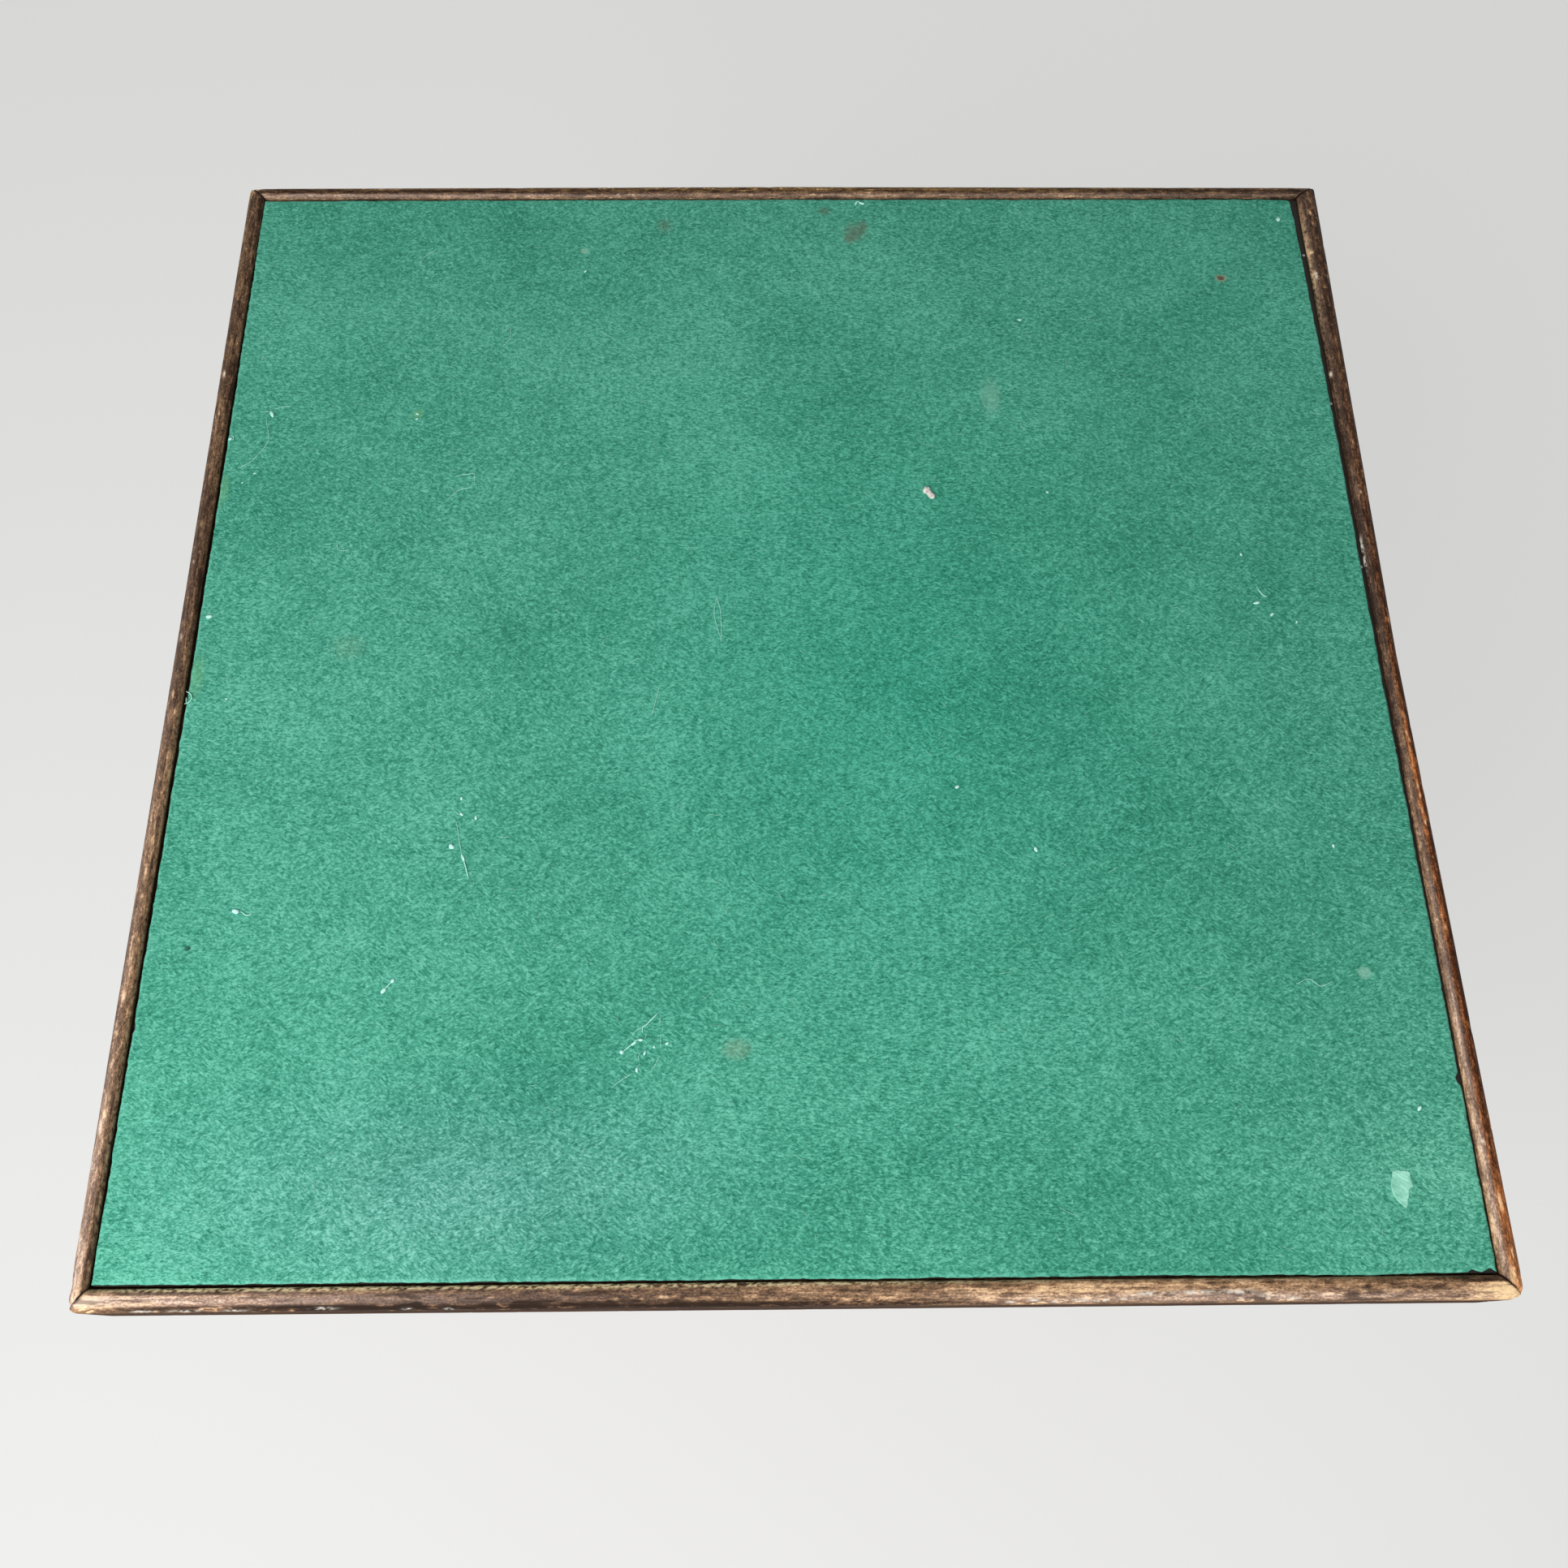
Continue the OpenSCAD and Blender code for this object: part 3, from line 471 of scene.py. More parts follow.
def build_rail(side, material):
    section = rail_section()
    t = np.linspace(-1, 1, int(round(2 * HALF / STATION_STEP)) + 1)[:, None]
    a = section[None, :, 0] + 0 * t
    h = section[None, :, 1] + 0 * t
    u = section_around(section)[None, :] + 0 * t
    toward = np.where(t < 0, drawn_in((side + 3) % 4, a, h, np.full_like(a, HALF)),
                      drawn_in((side + 1) % 4, a, h, np.full_like(a, -HALF)))
    s = t * (HALF - a - MITRE_GAP - toward)
    values = paint_rail(side, s, u)
    depth = carve(side, s, u, values["bare"])
    for place, at in pin_dimples():
        depth = depth + 0.55 * hump(s, place, 1.2) * hump(u, at, 1.2)
        values["bare"] -= 0.3 * hump(s, place, 1.6) * hump(u, at, 1.6)
    # The ledge's side is hidden, and the open line of a mitre holds dirt
    depth = depth * (1 - smooth(a, RAIL_T - 2.5, RAIL_T - 1) * smooth(h, LEDGE - 1, LEDGE))
    values["grime_and_shade"] += 1.8 * hump(HALF - np.abs(s) - (a + toward), 0, 1)
    normals = section_normals(section)
    moved = a - normals[None, :, 0] * depth + drawn_in(side, a, h, s)
    deeper = h - normals[None, :, 1] * depth
    s, moved = round_corners(side, s, moved)
    x, y = quarter_turned(s, -HALF + moved, side)
    points = np.stack([x, y, CROWN - deeper], axis=-1).reshape(-1, 3)
    rail = make_object("worn_rail_" + RAIL_NAMES[side], points, sweep_faces(len(t), len(section)), material)
    for name, value in values.items():
        add_field(rail, name, np.clip(value, -1, 1))
    grain = np.stack([s * MM, u * MM, 0 * s + 3 * side], axis=-1)
    add_field(rail, "grain", grain, "FLOAT_VECTOR", "vector")
    keep_ends_sharp(rail)
    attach(rail, "top")
    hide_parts("rail_" + RAIL_NAMES[side])


def keep_ends_sharp(obj):
    """The sawn end faces stay flat, so that their edges are crisp."""
    sharp = set()
    for face in (obj.data.polygons[-1], obj.data.polygons[-2]):
        face.use_smooth = False
        sharp.update(face.edge_keys)
    for edge in obj.data.edges:
        if edge.key in sharp:
            edge.use_edge_sharp = True


# Baize

BAIZE_PITCH = 2.5
# How far the cut edge lies beyond its plain line, from left to right or from front to back
EDGE_DRIFT = {
    FRONT: ((-367, -0.6), (-200, -0.35), (0, -0.2), (200, -0.3), (300, 0.5), (340, -0.3), (367, -0.2)),
    BACK: ((-367, 0.1), (-250, 0.7), (0, 1.2), (250, 0.9), (335, 0.9), (367, 0.3)),
    LEFT: ((-367, 0.5), (0, -0.5), (200, 0.2), (367, 1.1)),
    RIGHT: ((-367, -0.2), (-200, -1.7), (0, -3.4), (200, -3.8), (300, -5.2), (350, -6), (367, -6.8)),
}
# How far in from the edge the drift has faded, and how much of the back right corner is cut off
DRIFT_FADE = 9
CORNER_CUT = 3.2
# Nibbled places: along the edge, how deep and how wide
NIBBLES = {
    FRONT: ((355, 1.9, 1.6), (364, 2.3, 2.4)), RIGHT: ((-265, 2.6, 1.9),),
    BACK: (), LEFT: ((-230, 0.9, 2.5),),
}


def baize_lines():
    """Grid lines across the baize, closer together at its edges."""
    edge = [0, 0.35, 0.8, 1.4, 2.3, 3.6]
    inside = np.linspace(5.5, 2 * BAIZE_HALF - 5.5, int((2 * BAIZE_HALF - 11) / BAIZE_PITCH))
    return np.array(edge + inside.tolist() + [2 * BAIZE_HALF - e for e in edge[::-1]]) - BAIZE_HALF


def edge_reach(side, along):
    """How far one edge lies beyond its plain line at each place along it, with its frayed wander."""
    reach = along_table(EDGE_DRIFT[side], along)[0]
    reach = reach + 0.7 * (layered(along / 9, 0, 200 + side) - 0.5)
    reach = reach + 0.5 * (value_noise(along / 2.6, 0, 210 + side) - 0.5)
    for place, deep, wide in NIBBLES[side]:
        reach = reach - deep * hump(along, place, wide)
    return reach


def baize_xy(x, y):
    """The plain grid, drawn to the uneven edges."""
    out_x = x + edge_reach(RIGHT, y) * np.exp((x - BAIZE_HALF) / DRIFT_FADE)
    out_x = out_x - edge_reach(LEFT, y) * np.exp(-(x + BAIZE_HALF) / DRIFT_FADE)
    out_y = y + edge_reach(BACK, x) * np.exp((y - BAIZE_HALF) / DRIFT_FADE)
    out_y = out_y - edge_reach(FRONT, x) * np.exp(-(y + BAIZE_HALF) / DRIFT_FADE)
    over = np.maximum(0, (x + y) - (2 * BAIZE_HALF - CORNER_CUT)) / 2
    return out_x - over, out_y - over


def baize_height(x, y, to_edge):
    """Height of the nap over the plain top. It sinks at the cut edge."""
    height = 0.16 * (layered(x / 3.4, y / 3.4, 220) - 0.5)
    height += 0.3 * (layered(x / 60, y / 60, 221, 2) - 0.5)
    return height * smooth(to_edge, 0, 5) - 0.75 * (1 - smooth(to_edge, -0.2, 1.6)) - 0.1


def build_baize(material):
    lines = baize_lines()
    n = len(lines)
    x, y = np.meshgrid(lines, lines)
    gx, gy = baize_xy(x, y)
    to_edge = BAIZE_HALF - np.maximum(abs(x), abs(y))
    top = np.stack([gx, gy, BAIZE_TOP + baize_height(x, y, to_edge)], axis=-1).reshape(-1, 3)
    grid = np.arange(n * n).reshape(n, n)
    quads = np.stack([grid[:-1, :-1], grid[:-1, 1:], grid[1:, 1:], grid[1:, :-1]], axis=-1)
    faces = quads.reshape(-1, 4).tolist()
    rim = np.concatenate([grid[0, :-1], grid[:-1, -1], grid[-1, :0:-1], grid[:0:-1, 0]])
    low = top[rim].copy()
    low[:, 2] = BAIZE_TOP - BAIZE_T
    m = len(rim)
    base = n * n + np.arange(m)
    faces += np.column_stack([rim, base, np.roll(base, -1), np.roll(rim, -1)]).tolist()
    faces.append(base[::-1].tolist())
    cloth = make_object("baize_cloth", np.vstack([top, low]), faces, material)
    add_field(cloth, "cut_edge", np.concatenate([1 - smooth(to_edge.ravel(), 0.3, 2.6), np.ones(m)]))
    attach(cloth, "top")
    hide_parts("baize")


# Materials

class Wire:
    """One output of a node. Arithmetic on it adds the next node."""

    def __init__(self, paint, socket):
        self.paint = paint
        self.socket = socket

    def __add__(self, other):
        return self.paint.math("ADD", self, other)

    def __sub__(self, other):
        return self.paint.math("SUBTRACT", self, other)

    def __rsub__(self, other):
        return self.paint.math("SUBTRACT", other, self)

    def __mul__(self, other):
        return self.paint.math("MULTIPLY", self, other)

    def held(self):
        """The same value, held from 0 to 1."""
        self.socket.node.use_clamp = True
        return self

    def remap(self, low, high, to_low=0, to_high=1, kind="SMOOTHSTEP"):
        return self.paint.node("MapRange", "Result", {"interpolation_type": kind}, self,
                               From_Min=low, From_Max=high, To_Min=to_low, To_Max=to_high)

    def ramp(self, stops):
        made = self.paint.node("ValToRGB", "Color", {}, self)
        elements = made.socket.node.color_ramp.elements
        elements[0].position, elements[1].position = stops[0][0], stops[-1][0]
        elements[0].color, elements[1].color = (*stops[0][1], 1), (*stops[-1][1], 1)
        for position, color in stops[1:-1]:
            elements.new(position).color = (*color, 1)
        return made


class Paint:
    """Builds the node tree of one material or of the world."""

    def __init__(self, name, kind="materials", shader="Principled BSDF"):
        self.made = getattr(bpy.data, kind).new(name)
        self.made.use_nodes = True
        self.tree = self.made.node_tree
        self.shader = self.tree.nodes[shader]
        self.place = self.node("TexCoord", "Object", {})
        self.grain = self.place

    def feed(self, socket, value):
        """Links a wire or sets a plain value."""
        if isinstance(value, Wire):
            self.tree.links.new(value.socket, socket)
        elif socket.type == "RGBA":
            socket.default_value = (*value, 1)
        else:
            socket.default_value = value

    def node(self, kind, output, settings, *in_order, **named):
        """Adds a node, fills its inputs by order and by name, and gives one of its outputs."""
        made = self.tree.nodes.new("ShaderNode" + kind)
        for name, value in settings.items():
            setattr(made, name, value)
        for socket, value in zip(made.inputs, in_order):
            self.feed(socket, value)
        for name, value in named.items():
            self.feed(made.inputs[name.replace("_", " ")], value)
        return Wire(self, made.outputs[output])

    def field(self, name, output="Fac"):
        """A value stored at the mesh's vertices."""
        return self.node("Attribute", output, {"attribute_name": name})

    def axes(self):
        """The object's own x, y and z."""
        split = self.node("SeparateXYZ", 0, {}, self.place).socket.node
        return [Wire(self, output) for output in split.outputs]

    def upright_grain(self):
        """Object coordinates with z, along which the grain runs, brought to x."""
        x, y, z = self.axes()
        return self.node("CombineXYZ", "Vector", {}, z, x, y)

    def vector(self, operation, first, second=(0, 0, 0)):
        output = "Value" if operation == "LENGTH" else "Vector"
        return self.node("VectorMath", output, {"operation": operation}, first, second)

    def math(self, operation, *values):
        return self.node("Math", 0, {"operation": operation}, *values)

    def noise(self, scale, detail=2, roughness=0.5, distortion=0, at=None):
        return self.node("TexNoise", "Fac", {}, Vector=at or self.place, Scale=scale, Detail=detail,
                         Roughness=roughness, Distortion=distortion)

    def streaks(self, scale, detail=2, roughness=0.5, distortion=0, turn_deg=0):
        """Noise along the grain, which is turned about z and then scaled along each axis."""
        turned = self.node("Mapping", "Vector", {}, self.grain, Rotation=(0, 0, math.radians(turn_deg)))
        return self.noise(1, detail, roughness, distortion, self.vector("MULTIPLY", turned, scale))

    def mix(self, factor, first, second, blend="MIX"):
        mixed = self.node("Mix", 2, {"data_type": "RGBA", "blend_type": blend}, factor)
        for socket, value in zip(mixed.socket.node.inputs[6:8], (first, second)):
            self.feed(socket, value)
        return mixed

    def bump(self, height, distance_mm, strength):
        normal = self.node("Bump", "Normal", {}, Height=height, Distance=distance_mm * MM, Strength=strength)
        self.feed(self.shader.inputs["Normal"], normal)

    def finish(self, color, roughness, specular=0.5, **plain):
        plain.update({"Base Color": color, "Roughness": roughness, "Specular IOR Level": specular})
        for name, value in plain.items():
            self.feed(self.shader.inputs[name.replace("_", " ")], value)
        return self.made

    def seen_by(self, *rays):
        """1 where the ray is one of these kinds, and 0 elsewhere."""
        path = self.node("LightPath", 0, {}).socket.node
        found, *others = [Wire(self, path.outputs[ray]) for ray in rays]
        for other in others:
            found = self.math("MAXIMUM", found, other)
        return found


def rail_material():
    paint = Paint("worn_stained_rail")
    paint.grain = paint.field("grain", "Vector")
    fine = paint.streaks((110, 1900, 1), 3, 0.6)
    streak = paint.streaks((28, 700, 1), 3, 0.6, 0.3)
    speck = paint.streaks((620, 1100, 1), 2, 0.6)
    chip = paint.streaks((210, 560, 1), 3, 0.68, 0.4)
    pores = paint.streaks((260, 4200, 1), 1)
    change = (streak - 0.5) * 0.5 + (fine - 0.5) * 0.38 + (speck - 0.5) * 0.8 + (chip - 0.5) * 0.7
    lively = paint.field("lively")
    varied = (paint.field("bare") + change * lively).held()
    red = paint.field("red")
    color = paint.mix(red.remap(0, 1), varied.ramp(WOOD), (1.5, 0.88, 0.52), "MULTIPLY")
    color = paint.mix(red.remap(0, -1), color, (1, 1, 0.66), "MULTIPLY")
    pore_dark = pores.remap(0.6, 0.72, 0, 0.55)
    color = paint.mix(pore_dark, color, STAIN_DEEP)
    # The pale film laid here is partly old varnish and partly a painted sheen on the crown
    haze_and_sheen = paint.field("haze_and_sheen") * speck.remap(0.3, 0.62, 0.45, 1)
    haze_sheen_color = paint.mix(varied.remap(0.42, 0.85), DUST_HAZE_AND_SHEEN, HAZE_AND_SHEEN_PALE)
    color = paint.mix((haze_and_sheen * 0.86).held(), color, haze_sheen_color)
    # Dirt, and the painted shade beside the cloth, darken towards the deep stain
    grime_and_shade = (paint.field("grime_and_shade") * speck.remap(0.25, 0.5, 0.7, 1)).held()
    color = paint.mix(grime_and_shade, color, STAIN_DEEP)
    color = paint.mix((paint.field("fleck") * 0.95).held(), color, FLECK_YELLOW)
    color = paint.mix((paint.field("white") * 0.95).held(), color, PAINT_WHITE)
    rough = varied.remap(0.3, 0.85, 0.58, 0.74) + haze_and_sheen * 0.1
    rough = (rough + lively.remap(1 - FACE_CALM, 1, 0.34, 0)).held()
    paint.bump(fine * 0.5 + speck * 0.3 - pore_dark * 0.6, 0.16, 0.7)
    return paint.finish(color, rough, 0.07)


# Marks on the baize: x, y, half widths, colour, strength and how soft the edge is
STAIN_BROWN = (0.135, 0.12, 0.085)
STAIN_RUST = (0.13, 0.05, 0.04)
STAIN_GREY = (0.26, 0.35, 0.23)
STAIN_MINT = (0.32, 0.62, 0.48)
STAIN_BEIGE = (0.3, 0.33, 0.22)
STAIN_LIME = (0.2, 0.47, 0.2)
BAIZE_STAINS = (
    (49, 338, 9, 10, STAIN_BROWN, 0.55, 0.8), (45, 332, 4, 5, STAIN_BROWN, 0.5, 0.5),
    (55, 344, 4, 5, STAIN_BROWN, 0.4, 0.6), (-85, 344, 6, 8, STAIN_BROWN, 0.32, 0.8),
    (28, 357, 5, 4, STAIN_RUST, 0.35, 0.6), (303, 296, 5, 3.6, STAIN_BEIGE, 0.6, 0.4),
    (302.6, 296.2, 2.6, 2, STAIN_RUST, 0.85, 0.3), (-33, -245, 9, 7, STAIN_GREY, 0.34, 0.7),
    (-140, 321, 3.6, 3, STAIN_MINT, 0.55, 0.4), (323, -204, 4.6, 4.2, STAIN_MINT, 0.5, 0.4),
    (136, 196, 8, 17, STAIN_MINT, 0.28, 0.7), (-273, 8, 12, 10, STAIN_GREY, 0.14, 0.7),
    (-344, -185, 2, 1.8, (0.02, 0.05, 0.04), 0.8, 0.4), (-363, -12, 5, 16, STAIN_LIME, 0.34, 0.9),
    (-365, 124, 4, 14, STAIN_LIME, 0.34, 0.9), (-245, 183, 3.6, 4.4, STAIN_LIME, 0.5, 0.7),
)
# Broad painted light and shade on the cloth, whose colours multiply it: lighter at the two front corners,
# darker over the middle
BAIZE_PAINTED_LIGHT = (
    (-180, -320, 150, 60, (1.63, 1.07, 1.28), 1, 1.4), (330, -310, 90, 75, (1.42, 1.19, 1.19), 1, 1.4),
    (70, -20, 200, 260, (0.56, 0.91, 0.87), 1, 1.4),
)
# Where a mark's edge lies, in half widths and its ragged noise together
MARK_EDGE = 1.45


def stained(paint, color, ragged, marks, blend):
    """Lays each mark, a stain or a broad patch of painted light and shade, over the cloth's colour, with its
    edge broken by the ragged noise.
    """
    for x, y, half_x, half_y, stain, amount, soft_edge in marks:
        offset = paint.vector("SUBTRACT", paint.place, (x * MM, y * MM, BAIZE_TOP * MM))
        offset = paint.vector("MULTIPLY", offset, (1 / (half_x * MM), 1 / (half_y * MM), 0))
        reach = paint.vector("LENGTH", offset) + ragged * 0.9
        inside = reach.remap(MARK_EDGE - soft_edge, MARK_EDGE + 0.3 * soft_edge, amount, 0)
        color = paint.mix(inside, color, stain, blend)
    return color


def baize_fibres(paint):
    """Short matted fibres lying three ways, as a number from about 0.3 to 0.7."""
    first, second, third = (paint.streaks((330, 900, 300), 2.5, 0.65, 0.8, turn) for turn in (6, -28, 41))
    which = paint.noise(75, 1).remap(0.42, 0.58)
    side = paint.noise(3, 0).remap(0.4, 0.62)
    crossed = second * which + third * (1 - which)
    return first * side.remap(0, 1, 0.62, 0.38) + crossed * side.remap(0, 1, 0.38, 0.62)


def baize_material():
    paint = Paint("napped_baize")
    fibres = baize_fibres(paint)
    total = (fibres - 0.5) * 3.6
    for scale, share in ((700, 0.85), (400, 0.64), (180, 0.35), (64, 0.23), (17, 0.32), (5.2, 0.5)):
        total = total + (paint.noise(scale, 1) - 0.5) * share
    color = (total + 0.5).held().ramp(((0, BAIZE_DARK), (0.48, BAIZE_MEAN), (1, BAIZE_LIGHT)))
    hair = paint.streaks((300, 2600, 300), 1.5, 0.5, 1.2, 20)
    color = paint.mix(hair.remap(0.66, 0.76, 0, 0.5), color, BAIZE_LIGHT)
    cut = paint.field("cut_edge") * paint.noise(260).remap(0.36, 0.6)
    color = paint.mix(cut * 0.6, color, BAIZE_LIGHT)
    ragged = paint.noise(330, 3, 0.65)
    # Painted light and shade first, lighter front corners and a darker middle; then the real stains
    color = stained(paint, color, ragged, BAIZE_PAINTED_LIGHT, "MULTIPLY")
    color = stained(paint, color, ragged, BAIZE_STAINS, "MIX")
    paint.bump(fibres + hair * 0.5, 0.9, 0.8)
    return paint.finish(color, 0.95, 0.1, Sheen_Weight=0.1, Sheen_Roughness=0.45,
                        Sheen_Tint=(0.45, 0.95, 0.8))


def leg_material(corner):
    paint = Paint("worn_stained_leg_" + CORNER_NAMES[corner])
    paint.grain = paint.upright_grain()
    fine = paint.streaks((45, 1500, 1500), 3, 0.6)
    streak = paint.streaks((9, 420, 420), 3, 0.6, 0.4)
    blot = paint.noise(38, 3, 0.6)
    nick = paint.streaks((170, 420, 420), 2, 0.6)
    x, y, z = paint.axes()
    half = z.remap(0, LEG_STRAIGHT_DOWN_TO, FOOT_HALF, LEG_HALF, "LINEAR")
    middle = quarter_turned(*PIVOT, corner)
    inside = [half - paint.math("ABSOLUTE", axis - at) for axis, at in zip((x, y), middle)]
    edge = paint.math("MAXIMUM", *inside).remap(0, EDGE_WEAR, 1, 0)
    bare = (streak - 0.5) * 0.38 + 0.27 + (fine - 0.5) * 0.2 + (blot - 0.5) * 0.18
    bare = bare + edge * nick.remap(0.46, 0.66, 0, 0.34)
    scuffed = z.remap(0.01, 0.11, 0.3, 0) * nick.remap(0.48, 0.68)
    bare = (bare + scuffed).held()
    color = paint.mix(0.5, bare.ramp(WOOD), (1.12, 0.96, 0.88), "MULTIPLY")
    dust = z.remap(0, 0.05, 0.25, 0) * blot.remap(0.4, 0.6)
    color = paint.mix(dust, color, DUST_HAZE_AND_SHEEN)
    paint.bump(fine + nick * 0.6, 0.15, 0.6)
    return paint.finish(color, bare.remap(0.3, 0.85, 0.34, 0.64), 0.42)


def block_material():
    paint = Paint("bare_softwood_block")
    paint.grain = paint.upright_grain()
    rings = paint.streaks((14, 330, 330), 2, 0.5, 0.5)
    fine = paint.streaks((90, 2200, 2200), 2, 0.6)
    blot = paint.noise(70, 3, 0.6)
    tone = rings * 0.7 + fine * 0.3
    color = tone.ramp(((0.36, (0.5, 0.31, 0.15)), (0.5, (0.4, 0.225, 0.1)), (0.6, (0.24, 0.12, 0.05))))
    color = paint.mix(blot.remap(0.5, 0.66, 0, 0.55), color, STAIN_MID)
    paint.bump(tone + fine, 0.2, 0.6)
    return paint.finish(color, 0.72, 0.25)


def plywood_material():
    paint = Paint("bare_plywood")
    figure = paint.streaks((1.6, 26, 26), 4, 0.55, 1.2)
    pores = paint.streaks((60, 2400, 900), 2, 0.6)
    tone = paint.math("SINE", figure * 62) * 0.16 + pores * 0.9
    tints = ((0.15, (0.47, 0.3, 0.155)), (0.48, (0.39, 0.235, 0.115)), (0.8, (0.23, 0.125, 0.055)))
    color = tone.ramp(tints)
    blot = paint.noise(7, 4, 0.6).remap(0.45, 0.75, 0, 0.45)
    color = paint.mix(blot, color, (0.22, 0.13, 0.065))
    spots = paint.noise(120).remap(0.7, 0.76, 0, 0.5)
    color = paint.mix(spots, color, (0.1, 0.055, 0.03))
    # The dark glue on the side that carries the cloth
    under_cloth = BAIZE_TOP - BAIZE_T
    glued = paint.axes()[2].remap((under_cloth - 3) * MM, (under_cloth - 0.5) * MM)
    color = paint.mix(glued, color, (0.012, 0.01, 0.007))
    paint.bump(pores, 0.12, 0.6)
    return paint.finish(color, 0.7, 0.25)


def steel_material(name, color, dark, rust, roughness):
    paint = Paint(name)
    brushed = paint.streaks((90, 90, 2600), 2, 0.6)
    cloud = paint.noise(150, 4, 0.62)
    pits = paint.noise(900, 2, 0.6)
    tint = (cloud * 0.7 + brushed * 0.3).ramp(((0.36, dark), (0.6, color)))
    rusty = cloud.remap(0.56, 0.68, 0, rust) * pits.remap(0.4, 0.6)
    tint = paint.mix(rusty, tint, (0.17, 0.062, 0.022))
    rough = cloud.remap(0.35, 0.65, roughness - 0.08, roughness + 0.1) + rusty * 0.35
    paint.bump(brushed * 0.5 + pits, 0.05, 0.5)
    return paint.finish(tint, rough, Metallic=1)


# Loose bits on the baize

def curve_through(points, step):
    """A smooth line through the points, about step apart."""
    points = np.array(points, float)
    padded = np.vstack([2 * points[0] - points[1], points, 2 * points[-1] - points[-2]])
    out = []
    for i in range(1, len(padded) - 2):
        p0, p1, p2, p3 = padded[i - 1:i + 3]
        count = max(2, int(np.linalg.norm(p2 - p1) / step))
        for k in range(count):
            t = k / count
            out.append(0.5 * (2 * p1 + (p2 - p0) * t + (2 * p0 - 5 * p1 + 4 * p2 - p3) * t * t
                              + (3 * p1 - p0 - 3 * p2 + p3) * t ** 3))
    out.append(points[-1])
    return np.array(out)


def tube(path, radii, sides=6):
    """Verts and faces of a closed thread along a path of 3-D points."""
    ahead = np.gradient(path, axis=0)
    ahead = ahead / np.maximum(np.linalg.norm(ahead, axis=1), 1e-9)[:, None]
    across = np.cross(ahead, [0, 0, 1])
    across = across / np.maximum(np.linalg.norm(across, axis=1), 1e-9)[:, None]
    above = np.cross(across, ahead)
    turns = np.linspace(0, 2 * math.pi, sides, endpoint=False)
    ring = across[:, None] * np.cos(turns)[None, :, None] + above[:, None] * np.sin(turns)[None, :, None]
    verts = path[:, None] + ring * radii[:, None, None]
    return verts.reshape(-1, 3), sweep_faces(len(path), sides)


def lay_on_top(name, parts, material):
    """Makes one object of several lots of verts and faces, and lays it on the cloth."""
    faces = []
    start = 0
    for some_verts, some_faces in parts:
        faces += [[index + start for index in face] for face in some_faces]
        start += len(some_verts)
    obj = make_object(name, np.vstack([verts for verts, _ in parts]), faces, material)
    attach(obj, "top")


def lying_path(points, lift, seed, step=0.8):
    """A path over the baize that rises and falls a little."""
    flat = curve_through(points, step)
    rise = lift * value_noise(np.arange(len(flat)) * step / 4, 0, seed)
    return np.column_stack([flat, BAIZE_TOP + 0.05 + rise])


# Threads lying on the baize: each the x and y of one point after another
THIN_THREADS = (
    (-197.6, -108.4, -195.2, -119.4, -193.2, -128.4), (-199, -101.4, -197, -103.6, -195, -104),
    (-85, -232.4, -88, -234, -91, -237), (-83.4, -238.6, -82.8, -236),
    (-75.5, -248.4, -77.5, -253.4, -79.8, -257), (-85.5, -253, -87.5, -255, -87, -258.4),
    (-90, -258.6, -93.5, -260.4, -98, -263.4, -101.5, -266.4), (-75.2, -226.4, -75.6, -231.6),
    (-75, -237.6, -74.7, -243.4), (-85.6, -246, -87, -249, -86.4, -251.4),
    (-344, 179.4, -343, 174, -341.5, 168.5, -340.6, 162.6,
     -341.6, 159, -344, 154.4, -347.6, 149, -351.6, 144, -357.6, 140),
    (-346.4, 185, -343, 185.6),
    (-216.4, 133.2, -212.4, 134.6, -207, 135.6, -204, 135.4, -203.7, 132, -203.5, 128),
    (-205, 125.2, -209.8, 124.2, -213, 123.2, -215.8, 120.6, -219, 117),
    (-219, 126, -217, 123.4, -215.6, 120.6), (-286.6, 79, -284, 77.4, -279, 78.2),
    (-281, 78.4, -280.6, 76), (-339.9, 186.7, -335.5, 188.6, -328.7, 189.6), (-352, 232.1, -353.6, 225.3),
    (-187.9, 254.9, -187.8, 244.6, -192.9, 237.7), (-187.9, 254.9, -193.4, 250.6),
    (-80.7, -21.4, -82.5, -29.7, -84.7, -40.7), (-45.9, 42.9, -47.3, 29.5, -42.6, 10.5),
    (-45.9, 42.9, -43.4, 31, -42.6, 10.5), (-243.5, 322.3, -250.3, 316.6, -254.7, 307.9),
    (283.1, -210.7, 290.9, -207.5, 296.7, -211.8, 304.1, -209), (-171.6, -118.8, -165.7, -118.3),
)
THICK_THREADS = (
    (-193.2, -128.4, -190.6, -135.4, -188, -143.8),
    (-76.6, -224.4, -79.6, -227.4, -83, -231, -85, -232.4, -85, -235.4),
    (-96, -246.4, -93, -244, -90, -241.4, -87.6, -239.6, -85, -239.8), (-83, -245.4, -84, -248.4),
    (-287.6, 83, -287.2, 81, -286.6, 79), (-316.6, -163, -313.2, -165.4, -311, -165, -310, -163.8),
    (295, 47.5, 296.5, 44.8, 298.3, 42.3, 300.8, 41.1),
    (50.2, 363.4, 51, 365.2, 52.5, 365.5, 54.3, 364.2, 56, 364),
    (-231, -210.4, -229, -208, -226.4, -204.8),
    (-368, -22, -365.3, -23.4, -363.9, -26.4, -365, -29.2, -367.8, -30.4), (-367.4, -25.8, -366.8, -29.6),
    (-365.6, 166, -363.6, 164.6, -364.2, 162.4),
)
STRAY_FIBRES = 420
SMALL_FLECKS = 60
THIN_RADIUS = 0.15
THICK_RADIUS = 0.32
